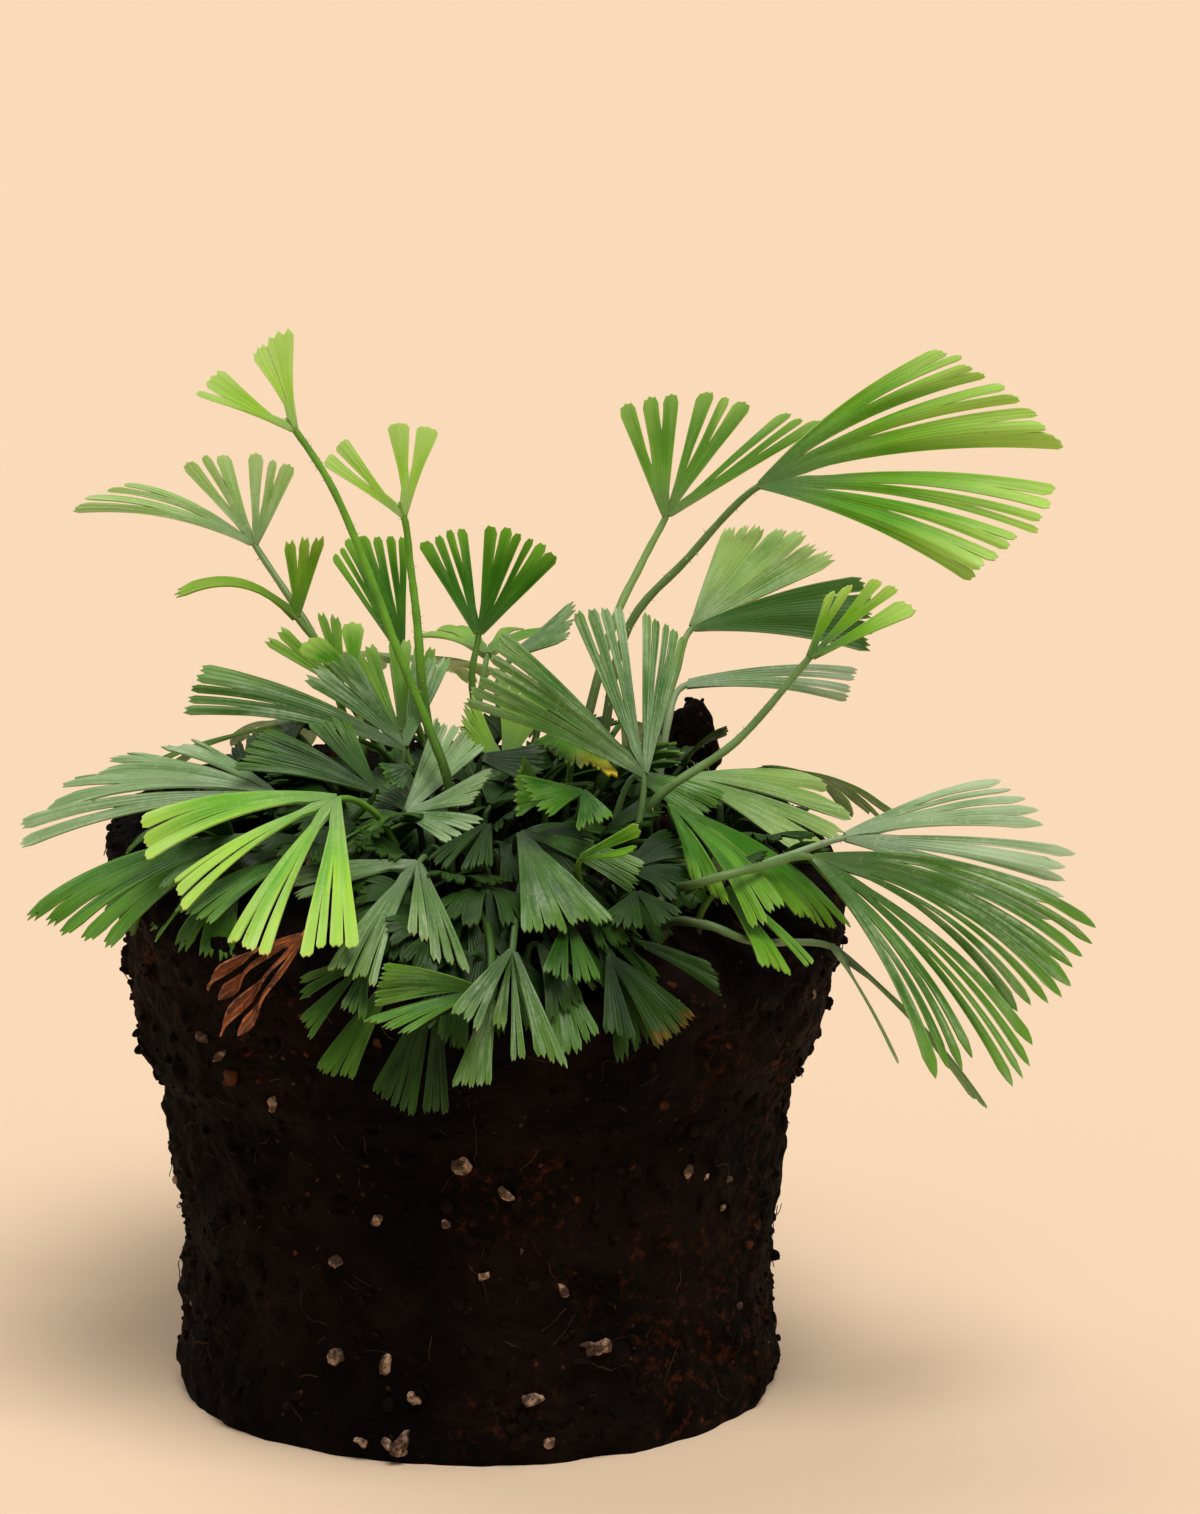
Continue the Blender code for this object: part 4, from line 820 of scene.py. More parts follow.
def segment_rows(lobe, index, start, teeth, dice, seed):
    """How far along the lobe each point of a segment's grid lies: even rows that bend to its toothed end."""
    outline = end_outline(lobe, index, np.linspace(0, 1, 2 * teeth + 1), dice, seed)
    tooth = lobe.tooth_share * dice.uniform(*TOOTH_LENGTHS)
    rows = max(FEWEST_ROWS, int(lobe.length / ROW_STEP))
    down = np.linspace(0, 1, rows)[:, None] ** ROW_CROWDING
    along = down * (1 + (outline - tooth - 1) * smooth((down - start) / (1 - start)))
    tips = outline - tooth
    tips[1::2] = outline[1::2] - tooth * np.array([dice.uniform(*TIP_DIPS) for _ in range(teeth)])
    tips[2:-1:2] += tooth * np.array([dice.uniform(*NOTCH_RISES) for _ in range(teeth - 1)])
    return np.concatenate([along, tips[None] + (POINT_LENGTH if lobe.cut.pointed else 0.0)])


def end_outline(lobe, index, shares, dice, seed):
    """How far along a segment's end reaches at places across it, with drawn-in corners but no teeth."""
    groups = ["short %s %d %d" % (seed, low, high) for low, high, _ in lobe.groups(index)]
    short = sum(random.Random(group).uniform(0, SHORTENING) for group in groups)
    slant = dice.uniform(-SLANT, SLANT) * lobe.corner_share
    corners = lobe.corner_share * abs(2 * shares - 1) ** (1.5 if lobe.cut.pointed else 3)
    return 1 - short - corners - slant * (shares - 0.5) - abs(slant) / 2


def segment_bump(lobe, index, across, along, seed):
    """How far a segment stands off its lobe's surface: pleats, a slow fold and the lift of its groups."""
    rise = smooth((along - WEB_END) / RELIEF_RISE)
    ridge = np.where(np.arange(along.shape[1]) % 2 == 0, 1.0, -1.0)[None]
    bump = PLEAT * ridge * rise * min(1.3, lobe.pitch / 1.5)
    waves = np.sin(lobe.segments * FOLD_WAVES * across + 6 * lobe.fold)
    bump = bump + FOLD * lobe.breadth * waves * rise * along
    for first, last, free_from in lobe.groups(index):
        bump = bump + group_bump(lobe, first, last, free_from, across, along, seed)
    return bump


def group_bump(lobe, first, last, free_from, across, along, seed):
    """How a group of segments lifts, tilts and arches beyond the slits that part it from the others."""
    dice = random.Random("%s %d %d" % (seed, first, last))
    free = np.clip((along - free_from) / max(0.05, 1 - free_from), 0, None)
    low, high = lobe.borders[first], lobe.borders[last]
    share = 2 * (across - low) / (high - low) - 1
    breadth = (high - low) * lobe.breadth
    lift = dice.uniform(-LIFT, 0.7 * LIFT) * free**2 * min(1.0, lobe.length / FULL_LIFT_LENGTH)
    tilt = dice.uniform(-TWIST, TWIST) * min(1.0, breadth / FULL_TWIST_BREADTH) * share * free
    arch = KEEL * min(3.0, breadth) * (1 - share**2) * smooth(2 * free)
    return lift + tilt + arch


def curl(wide, shares, along, free, index):
    """How a dead segment hollows, waves and rolls over."""
    hollow = -0.4 * wide * (1 - (2 * shares - 1) ** 2) * free**0.5
    wave = 0.5 * np.sin(13 * along + 3 * index + 2 * shares) * free
    roll = 0.5 * wide * (2 * shares - 1) * np.sin(9 * along + 2 * index)
    return hollow + wave + roll


def edge_share(along, start, webbed):
    """1 where a segment's side is a free edge and 0 where it still joins its neighbour."""
    if start is None:
        start = WEB_END + WEB_FADE if webbed else 0.0
    return (along > start + 1e-6).astype(float)


def blade_grids(lobes, seed, dead):
    """All lobes' segments as rows of x, y, z, along, ribs, rim and tone, and the quads between them."""
    grids, quads, count = [], [], 0
    for i, lobe in enumerate(lobes):
        before = lobes[i - 1] if i else None
        after = lobes[i + 1] if i + 1 < len(lobes) else None
        for index in range(lobe.segments):
            grid = segment_grid(lobe, index, before, after, "%s %d" % (seed, i), dead)
            rows, columns = grid[1].shape
            cells = np.arange(rows * columns).reshape(rows, columns) + count
            corners = (cells[:-1, :-1], cells[:-1, 1:], cells[1:, 1:], cells[1:, :-1])
            quads.append(np.stack([corner.ravel() for corner in corners], axis=1))
            flat = [values.reshape(rows * columns, -1) for values in grid]
            grids.append(np.hstack([*flat, np.full((rows * columns, 1), lobe.tone)]))
            count += rows * columns
    return np.concatenate(grids), np.concatenate(quads)


def add_blade(skin, lobes, seed, dead):
    """All lobes' segments, welded where no slit parts them and given their thickness."""
    grids, quads = blade_grids(lobes, seed, dead)
    _, kept, merged = np.unique(np.round(grids[:, :3], 4), axis=0, return_index=True, return_inverse=True)
    quads = merged.ravel()[quads]
    points = grids[kept, :3]
    along, ribs, rim, tone = grids[kept, 3:].T
    thicker = BASE_EXTRA * (1 - smooth(along / BASE_END))
    thinner = END_THINNING * BLADE_HALF * smooth((along - THIN_FROM) / THIN_OVER)
    away = point_normals(points, quads) * (BLADE_HALF + thicker - thinner)[:, None]
    faces = shell_faces(quads, len(points))
    values = {"along": along, "across": ribs, "rim": rim, "tone": tone}
    both = np.concatenate([points + away, points - away])
    skin.add(both, faces, **{name: np.tile(value, 2) for name, value in values.items()})


def point_normals(points, quads):
    corners = points[quads]
    slants = np.cross(corners[:, 2] - corners[:, 0], corners[:, 3] - corners[:, 1])
    normals = np.zeros_like(points)
    for k in range(4):
        np.add.at(normals, quads[:, k], slants)
    return normals / (np.linalg.norm(normals, axis=1, keepdims=True) + 1e-12)


def shell_faces(quads, shift):
    """The faces of both sides and of the edge between them. A quad that has lost a corner is a triangle."""
    faces = [tuple(quad) for quad in quads] + [tuple(quad[::-1] + shift) for quad in quads]
    edges = dict.fromkeys((quad[k], quad[(k + 1) % 4]) for quad in quads for k in range(4))
    faces += [(b, a, a + shift, b + shift) for a, b in edges if a != b and (b, a) not in edges]
    whole = [tuple(dict.fromkeys(face)) for face in faces]
    return [face for face in whole if len(face) == 4] + [face for face in whole if len(face) == 3]


def skin_frond(skin, frond):
    lobes = fan(frond)
    add_stem(skin, frond, lobes)
    add_blade(skin, lobes, frond.name, frond.tone == "dead")


def finish_leaf(name, skin, material):
    mesh = skin.mesh(name)
    work = bmesh.new()
    work.from_mesh(mesh)
    bmesh.ops.recalc_face_normals(work, faces=work.faces)
    work.to_mesh(mesh)
    work.free()
    mesh.shade_smooth()
    mesh.set_sharp_from_angle(angle=math.radians(SHARP_EDGE))
    mesh.materials.append(material)
    return place(name, mesh)


def place(name, data):
    thing = bpy.data.objects.new(name, data)
    bpy.context.scene.collection.objects.link(thing)
    return thing


def make_frond(frond, material):
    skin = Skin()
    skin_frond(skin, frond)
    return finish_leaf("fine_" + frond.name, skin, material)


def coarse(fronds):
    """A tree of the fronds' rough surfaces, to find what runs into them."""
    points, faces = [], []
    across, along = np.meshgrid(np.linspace(0, 1, 4), np.linspace(0.05, 1, 7))
    rows, columns = across.shape
    for frond in fronds:
        for lobe in fan(frond):
            start = len(points)
            points += [tuple(point) for point in lobe.points(across, along).reshape(-1, 3)]
            for row in range(rows - 1):
                for column in range(columns - 1):
                    corner = start + row * columns + column
                    faces.append((corner, corner + 1, corner + columns + 1, corner + columns))
    return BVHTree.FromPolygons(points, faces)


def make_undergrowth(name, storey, others, material):
    """Small fronds, coloured as painted shade, that fill the crown between the large ones and keep clear of
    their blades.
    """
    dice = random.Random(storey.seed)
    skin = Skin()
    large = coarse(others)
    taken = [frond.root for frond in others]
    grown = []
    for number in range(storey.count):
        best, found = -1, None
        for _ in range(UNDERGROWTH_TRIES):
            turn = dice.uniform(0, 2 * math.pi)
            reach = storey.reach * math.sqrt(dice.random())
            x = storey.middle[0] + reach * math.cos(turn)
            y = storey.middle[1] + UNDERGROWTH_DEPTH * reach * math.sin(turn)
            gap = min(math.dist((x, y), other) for other in taken)
            if gap < best:
                continue
            turn += dice.uniform(-UNDERGROWTH_TURN, UNDERGROWTH_TURN)
            frond = small_frond("%s %d" % (name, number), (x, y), turn, storey, dice)
            if not coarse([frond]).overlap(large):
                best, found = gap, frond
        if found:
            taken.append(found.root)
            grown.append(found)
            skin_frond(skin, found)
    return grown, finish_leaf(name, skin, material)


def small_frond(name, root, turn, storey, dice):
    """A short frond whose fan opens in the direction of the turn."""
    foot = np.array((*root, top_height(*root)))
    out = np.array((math.cos(turn), math.sin(turn), 0.0))
    roll = dice.uniform(-UNDERGROWTH_ROLL, UNDERGROWTH_ROLL)
    level = math.cos(roll)
    across = np.array((-math.sin(turn) * level, math.cos(turn) * level, math.sin(roll)))
    leant = foot + out * dice.uniform(*UNDERGROWTH_LEANS)
    fork = leant + (0, 0, storey.rise * dice.uniform(*UNDERGROWTH_RISES))
    size = storey.size * dice.uniform(*UNDERGROWTH_SIZES)
    drop = np.array((0, 0, dice.uniform(*storey.droop) * size))
    tips = [fork + size * (out * math.cos(a) + across * math.sin(a)) + drop for a in UNDERGROWTH_TIPS]
    lobes = [(*pair, UNDERGROWTH_SEGMENTS, UNDERGROWTH_ARCH) for pair in (tips[:2], tips[2:])]
    return Frond(name, "dark", root, [], fork, lobes)


class NodeTree:
    """A tree of nodes: each call of add gives back one of the new node's outputs."""

    def __init__(self, tree):
        self.tree = tree

    def add(self, kind, output=0, inputs=(), **settings):
        node = self.tree.nodes.new(kind)
        for name, value in settings.items():
            setattr(node, name, value)
        self.feed(node, dict(inputs))
        return node.outputs[output]

    def feed(self, node, inputs):
        for name, value in inputs.items():
            if isinstance(value, bpy.types.NodeSocket):
                self.tree.links.new(value, node.inputs[name])
            else:
                node.inputs[name].default_value = value


class Paint(NodeTree):
    """A procedural material."""

    def __init__(self, name):
        self.material = bpy.data.materials.new(name)
        self.material.use_nodes = True
        super().__init__(self.material.node_tree)
        self.shader = self.tree.nodes["Principled BSDF"]
        self.place = self.add("ShaderNodeTexCoord", output="Object")

    def value(self, name):
        return self.add("ShaderNodeAttribute", output="Fac", attribute_name=name)

    def clouds(self, scale, detail=3.0, rough=0.5, warp=0.0):
        inputs = {"Vector": self.place, "Scale": scale, "Detail": detail}
        inputs |= {"Roughness": rough, "Distortion": warp}
        return self.add("ShaderNodeTexNoise", output="Fac", inputs=inputs)

    def cells(self, scale):
        inputs = {"Vector": self.place, "Scale": scale}
        return self.add("ShaderNodeTexVoronoi", output="Distance", inputs=inputs)

    def streaks(self, place, stretch, detail, rough):
        """Clouds at a place of the blade's own coordinates, stretched."""
        stretched = self.add("ShaderNodeMapping", inputs={"Vector": place, "Scale": stretch})
        inputs = {"Vector": stretched, "Scale": 1.0, "Detail": detail, "Roughness": rough}
        return self.add("ShaderNodeTexNoise", output="Fac", inputs=inputs)

    def span(self, value, low, high, to_low=0.0, to_high=1.0):
        """A smooth step from one value to another."""
        inputs = {"Value": value, "From Min": low, "From Max": high, "To Min": to_low, "To Max": to_high}
        return self.add("ShaderNodeMapRange", inputs=inputs, interpolation_type="SMOOTHSTEP")

    def patchy(self, scale, low, high):
        """Values that drift between two limits, as for an uneven roughness."""
        return self.span(self.clouds(scale), 0.3, 0.7, low, high)

    def calc(self, operation, *values):
        return self.add("ShaderNodeMath", inputs=dict(enumerate(values)), operation=operation)

    def times(self, *values):
        product = values[0]
        for value in values[1:]:
            product = self.calc("MULTIPLY", product, value)
        return product

    def plus(self, first, second):
        return self.calc("ADD", first, second)

    def times_plus(self, first, second, third):
        return self.calc("MULTIPLY_ADD", first, second, third)

    def mix(self, share, first, second):
        inputs = {0: share, 6: opaque(first), 7: opaque(second)}
        return self.add("ShaderNodeMix", output=2, inputs=inputs, data_type="RGBA")

    def bump(self, height, distance, strength=1.0):
        inputs = {"Height": height, "Distance": distance, "Strength": strength}
        return self.add("ShaderNodeBump", output="Normal", inputs=inputs)

    def finish(self, **sockets):
        self.feed(self.shader, {name.replace("_", " "): value for name, value in sockets.items()})
        return self.material


def opaque(colour):
    """A colour with its fourth value, or a socket as it is."""
    return (*colour, 1.0) if isinstance(colour, tuple) else colour


# Linear colours. silver is how much pale sheen lies on the blade, partly the leaf's own silvery bloom and
# partly a painted highlight; tip_start and tip_share say where the tips' colour begins along it and how
# strong it is, and glow is how much light passes through. fork is partly the blade's own greyer base and
# partly painted shade where the lobes meet. Several looks are lit and shaded copies of one green: sunlit,
# pale and silver are painted light on fronds that catch it, dark and deep painted shade on fronds low in the
# crown or under others.
Look = namedtuple("Look", "fork deep base tip tooth margin stem silver tip_start tip_share glow")
LOOKS = {
    "lime": Look(
        fork=(0.16, 0.31, 0.08), deep=(0.12, 0.38, 0.006), base=(0.32, 0.64, 0.02),
        tip=(0.50, 0.76, 0.12), tooth=(0.58, 0.62, 0.14), margin=(0.48, 0.66, 0.15),
        stem=(0.13, 0.30, 0.03), silver=0.45, tip_start=0.5, tip_share=0.7, glow=0.3,
    ),
    "fresh": Look(
        fork=(0.30, 0.47, 0.14), deep=(0.32, 0.58, 0.05), base=(0.45, 0.72, 0.10),
        tip=(0.50, 0.74, 0.22), tooth=(0.58, 0.72, 0.28), margin=(0.55, 0.76, 0.25),
        stem=(0.15, 0.36, 0.03), silver=0.15, tip_start=0.4, tip_share=0.8, glow=0.3,
    ),
    "bright": Look(
        fork=(0.09, 0.20, 0.06), deep=(0.09, 0.30, 0.01), base=(0.18, 0.42, 0.018),
        tip=(0.46, 0.70, 0.14), tooth=(0.60, 0.72, 0.25), margin=(0.36, 0.56, 0.12),
        stem=(0.15, 0.26, 0.08), silver=0.2, tip_start=0.45, tip_share=0.9, glow=0.25,
    ),
    "vivid": Look(
        fork=(0.045, 0.13, 0.014), deep=(0.035, 0.15, 0.004), base=(0.09, 0.27, 0.008),
        tip=(0.19, 0.41, 0.026), tooth=(0.46, 0.55, 0.19), margin=(0.23, 0.42, 0.05),
        stem=(0.11, 0.22, 0.028), silver=0.12, tip_start=0.55, tip_share=0.7, glow=0.2,
    ),
    "glossy": Look(
        fork=(0.05, 0.13, 0.02), deep=(0.035, 0.13, 0.006), base=(0.08, 0.24, 0.014),
        tip=(0.17, 0.37, 0.04), tooth=(0.30, 0.46, 0.16), margin=(0.19, 0.36, 0.07),
        stem=(0.12, 0.22, 0.06), silver=0.85, tip_start=0.6, tip_share=0.6, glow=0.15,
    ),
    "green": Look(
        fork=(0.025, 0.075, 0.01), deep=(0.02, 0.095, 0.003), base=(0.06, 0.20, 0.008),
        tip=(0.12, 0.29, 0.02), tooth=(0.40, 0.46, 0.17), margin=(0.17, 0.31, 0.045),
        stem=(0.05, 0.11, 0.015), silver=0.3, tip_start=0.6, tip_share=0.6, glow=0.15,
    ),
    "olive": Look(
        fork=(0.11, 0.23, 0.035), deep=(0.12, 0.27, 0.012), base=(0.24, 0.43, 0.028),
        tip=(0.37, 0.53, 0.065), tooth=(0.44, 0.42, 0.14), margin=(0.37, 0.52, 0.09),
        stem=(0.20, 0.31, 0.065), silver=0.05, tip_start=0.6, tip_share=0.5, glow=0.2,
    ),
    "yellow": Look(
        fork=(0.04, 0.11, 0.015), deep=(0.03, 0.11, 0.004), base=(0.07, 0.19, 0.009),
        tip=(0.62, 0.42, 0.012), tooth=(0.46, 0.36, 0.05), margin=(0.18, 0.31, 0.05),
        stem=(0.10, 0.18, 0.04), silver=0.1, tip_start=0.5, tip_share=0.95, glow=0.15,
    ),
    "grey": Look(
        fork=(0.10, 0.18, 0.07), deep=(0.04, 0.13, 0.014), base=(0.09, 0.22, 0.03),
        tip=(0.17, 0.33, 0.06), tooth=(0.46, 0.52, 0.28), margin=(0.24, 0.39, 0.10),
        stem=(0.10, 0.18, 0.05), silver=0.8, tip_start=0.6, tip_share=0.5, glow=0.1,
    ),
    # pale and silver: lighter copies, painted light on fronds that catch it
    "pale": Look(
        fork=(0.18, 0.31, 0.10), deep=(0.14, 0.30, 0.05), base=(0.28, 0.46, 0.11),
        tip=(0.42, 0.59, 0.19), tooth=(0.52, 0.60, 0.32), margin=(0.50, 0.65, 0.26),
        stem=(0.20, 0.31, 0.10), silver=0.8, tip_start=0.55, tip_share=0.6, glow=0.15,
    ),
    "silver": Look(
        fork=(0.22, 0.33, 0.18), deep=(0.17, 0.30, 0.11), base=(0.36, 0.50, 0.27),
        tip=(0.50, 0.62, 0.40), tooth=(0.58, 0.64, 0.44), margin=(0.52, 0.62, 0.40),
        stem=(0.24, 0.34, 0.17), silver=0.95, tip_start=0.5, tip_share=0.6, glow=0.1,
    ),
    "dusky": Look(
        fork=(0.055, 0.11, 0.035), deep=(0.026, 0.09, 0.008), base=(0.068, 0.17, 0.022),
        tip=(0.13, 0.27, 0.04), tooth=(0.40, 0.48, 0.22), margin=(0.20, 0.34, 0.08),
        stem=(0.06, 0.12, 0.03), silver=0.65, tip_start=0.6, tip_share=0.5, glow=0.1,
    ),
    "ashen": Look(
        fork=(0.10, 0.17, 0.075), deep=(0.04, 0.115, 0.02), base=(0.115, 0.225, 0.055),
        tip=(0.20, 0.34, 0.085), tooth=(0.48, 0.55, 0.32), margin=(0.28, 0.42, 0.15),
        stem=(0.10, 0.17, 0.06), silver=0.9, tip_start=0.55, tip_share=0.6, glow=0.1,
    ),
    "misty": Look(
        fork=(0.15, 0.24, 0.12), deep=(0.09, 0.20, 0.05), base=(0.19, 0.32, 0.12),
        tip=(0.29, 0.43, 0.19), tooth=(0.50, 0.57, 0.35), margin=(0.36, 0.49, 0.24),
        stem=(0.15, 0.24, 0.09), silver=0.9, tip_start=0.55, tip_share=0.6, glow=0.1,
    ),
    # dark and deep: darker copies, painted shade on fronds low in the crown or under others
    "dark": Look(
        fork=(0.018, 0.048, 0.008), deep=(0.012, 0.055, 0.002), base=(0.04, 0.125, 0.006),
        tip=(0.08, 0.20, 0.016), tooth=(0.26, 0.34, 0.13), margin=(0.10, 0.20, 0.03),
        stem=(0.03, 0.06, 0.01), silver=0.3, tip_start=0.6, tip_share=0.5, glow=0.1,
    ),
    "deep": Look(
        fork=(0.009, 0.024, 0.004), deep=(0.005, 0.022, 0.0015), base=(0.015, 0.05, 0.0035),
        tip=(0.03, 0.08, 0.009), tooth=(0.12, 0.17, 0.06), margin=(0.04, 0.085, 0.013),
        stem=(0.016, 0.032, 0.006), silver=0.06, tip_start=0.6, tip_share=0.5, glow=0.05,
    ),
    "sunlit": Look(
        fork=(0.13, 0.24, 0.06), deep=(0.10, 0.26, 0.02), base=(0.22, 0.42, 0.045),
        tip=(0.36, 0.54, 0.11), tooth=(0.42, 0.50, 0.18), margin=(0.38, 0.54, 0.13),
        stem=(0.20, 0.33, 0.09), silver=0.15, tip_start=0.6, tip_share=0.5, glow=0.2,
    ),
}

# Linear colours that all leaves share. A pair is the two colours of one tissue's patches.
# The first is the pale sheen: partly the leaves' silvery bloom, partly a painted highlight.
LEAF_BLOOM_AND_PAINTED_SHEEN = (0.44, 0.53, 0.40)
LEAF_IN_SHADE = ((0.03, 0.13, 0.008), (0.09, 0.27, 0.03))
LEAF_WITHERED = ((0.05, 0.02, 0.006), (0.24, 0.11, 0.022))
LEAF_SPOTS = (0.10, 0.035, 0.012)
# The stems' dark foot at the soil is partly painted shade.
STEM_FOOT = (0.02, 0.014, 0.006)
STEM_PATCHES = (0.04, 0.11, 0.02)

# The dead frond, the hairs and the root ball
DEAD = ((0.07, 0.013, 0.003), (0.38, 0.095, 0.018))
# The dead frond's orange along its folds is a painted highlight.
DEAD_FOLD_HIGHLIGHTS = (0.62, 0.23, 0.06)
HAIRS = ((0.30, 0.34, 0.14), (0.55, 0.52, 0.32))
PEAT = ((0.0018, 0.001, 0.0008), (0.008, 0.004, 0.0026))
RED_PEAT_AND_SIDE_LIGHT = (0.06, 0.015, 0.0045)
TAN_FLECKS = (0.11, 0.055, 0.024)
CRUMB = ((0.0018, 0.001, 0.0008), (0.010, 0.0048, 0.003))
BARK = (0.075, 0.022, 0.007)
STAINED_PERLITE = ((0.44, 0.29, 0.19), (0.05, 0.026, 0.015))
PERLITE_PITS = (0.06, 0.033, 0.02)
FIBRES = ((0.008, 0.004, 0.0025), (0.045, 0.02, 0.01))


class LeafPaint(Paint):
    """A leaf's material: layers of colour over the places on the blade and the streaks that they share."""

    def __init__(self, tone):
        super().__init__("leaf_" + tone)
        self.tone, self.look = tone, LOOKS[tone]
        self.along, self.ribs = self.value("along"), self.value("across")
        self.rim, self.own = self.value("rim"), self.value("tone")
        self.on_blade = self.span(self.along, 0.0, 0.12)
        blade_place = {0: self.ribs, 1: self.along, 2: self.times(self.own, 40.0)}
        blade_place = self.add("ShaderNodeCombineXYZ", inputs=blade_place)
        self.broad = self.streaks(blade_place, (0.28, 1.3, 1.0), 2.0, 0.5)
        self.fine = self.streaks(blade_place, (1.1, 2.4, 1.0), 4.0, 0.6)
        self.veins = self.times_plus(self.calc("SINE", self.times(self.ribs, 2 * math.pi)), 0.5, 0.5)
        lean = self.times_plus(self.calc("MINIMUM", self.own, 1.0), 0.4, -0.2)
        patches = self.times_plus(self.clouds(150, 3, 0.6), 0.4, lean)
        self.patches = self.span(self.plus(patches, self.times(self.broad, 0.6)), 0.36, 0.62)

    def tissue(self):
        """Green in patches that changes from the fork to the tips, with faint dark veins. The darker fork
        colour is partly painted shade where the lobes meet.
        """
        look = self.look
        colour = self.mix(self.patches, look.deep, look.base)
        # Towards the fork: partly the blade's own base colour, partly painted shade where the lobes meet.
        from_fork = self.span(self.plus(self.along, self.times(self.patches, -0.12)), 0.0, 0.42, 0.9, 0.0)
        colour = self.mix(from_fork, colour, look.fork)
        reach = self.times_plus(self.calc("SUBTRACT", self.broad, 0.5), 0.5, self.along)
        tipward = self.times(self.span(reach, look.tip_start, 1.0), look.tip_share)
        if self.tone == "yellow":
            tipward = self.times(tipward, self.span(self.ribs, 2.0, 8.0, 1.0, 0.0))
        colour = self.mix(tipward, colour, look.tip)
        uneven = self.span(self.clouds(420), 0.35, 0.65, 0.02, 0.16)
        return self.mix(self.times(self.veins, uneven, self.on_blade), colour, look.deep)

    def silvered_with_painted_sheen(self, colour):
        """A pale sheen in streaks, grained with specks: partly the leaf's silvery bloom, partly a painted
        highlight.
        """
        look = self.look
        grain = self.span(self.clouds(2300, 2, 0.6), 0.3, 0.65, 0.45, 1.0)
        sheen = self.times(self.span(self.fine, 0.4, 0.66), self.span(self.clouds(170, 2), 0.36, 0.6))
        sheen = self.times(self.times(sheen, look.silver), self.times(grain, self.on_blade))
        colour = self.mix(sheen, colour, self.mix(0.55, look.tip, LEAF_BLOOM_AND_PAINTED_SHEEN))
        specks = self.times(self.span(self.clouds(2900, 1, 0.5), 0.62, 0.7), 0.3 * look.silver)
        return self.mix(self.times(specks, self.on_blade), colour, look.margin)

    def edged(self, colour):
        """Shade over a lobe that lies in it, then pale margins and teeth."""
        shaded = self.span(self.own, SHADED_TONE + 0.2, 0.0, 0.85, 0.0)
        colour = self.mix(shaded, colour, self.mix(self.patches, *LEAF_IN_SHADE))
        colour = self.mix(self.times(self.calc("POWER", self.rim, 2.0), 0.5), colour, self.look.margin)
        return self.mix(self.times(self.span(self.along, 0.95, 1.0), 0.7), colour, self.look.tooth)

    def aged(self, colour):
        """Brown on the end of a withered lobe."""
        ragged = self.times_plus(self.clouds(520, 4, 0.6), 0.9, self.along)
        withered = self.span(self.own, 0.5 * WITHERED_TONE, WITHERED_TONE - 0.5)
        withered = self.times(withered, self.span(ragged, 1.2, 1.55))
        return self.mix(withered, colour, self.mix(self.span(self.fine, 0.35, 0.65), *LEAF_WITHERED))

    def stemmed(self, colour):
        """The stem's colour below the fork, darkening to a brown foot at the soil that is partly painted
        shade, and a few dark spots on both.
        """
        stem = self.mix(self.span(self.along, -1.0, -0.45), STEM_FOOT, self.look.stem)
        stem = self.mix(self.span(self.clouds(420), 0.4, 0.7, 0.0, 0.4), stem, STEM_PATCHES)
        colour = self.mix(self.span(self.along, -0.03, 0.06), stem, colour)
        spots = self.span(self.cells(420), 0.0, 0.14, 1.0, 0.0)
        rare = self.span(self.clouds(330, 1), 0.62, 0.68)
        return self.mix(self.times(spots, rare), colour, LEAF_SPOTS)


def leaf_material(tone):
    leaf = LeafPaint(tone)
    colour = leaf.stemmed(leaf.aged(leaf.edged(leaf.silvered_with_painted_sheen(leaf.tissue()))))
    height = leaf.times_plus(leaf.clouds(1900), 0.5, leaf.times(leaf.veins, leaf.on_blade))
    return leaf.finish(
        Base_Color=colour,
        Roughness=leaf.patchy(700, 0.34, 0.5),
        Normal=leaf.bump(height, 0.00005, 0.4),
        Subsurface_Weight=leaf.look.glow,
        Subsurface_Radius=(0.6, 1.0, 0.25),
        Subsurface_Scale=0.0006,
        Specular_IOR_Level=0.12 + 0.25 * leaf.look.silver,
    )


def dead_material():
    """Crisp red-brown tissue with painted orange highlights along its folds, darker between them."""
    paint = Paint("leaf_dead")
    ribs = paint.value("across")
    patches = paint.span(paint.clouds(420, 5, 0.65, 0.6), 0.36, 0.66)
    colour = paint.mix(patches, *DEAD)
    folds = paint.calc("SINE", paint.plus(paint.times(ribs, 4.2), paint.times(patches, 3.0)))
    streaks = paint.span(folds, -0.1, 1.0)
    # Painted highlights along the folds' crests.
    colour = paint.mix(paint.times(streaks, 0.4), colour, DEAD_FOLD_HIGHLIGHTS)
    height = paint.plus(streaks, paint.times(paint.clouds(1100, 5, 0.7, 0.8), 1.6))
    return paint.finish(
        Base_Color=colour,
        Roughness=paint.patchy(700, 0.5, 0.8),
        Normal=paint.bump(height, 0.0002),
    )


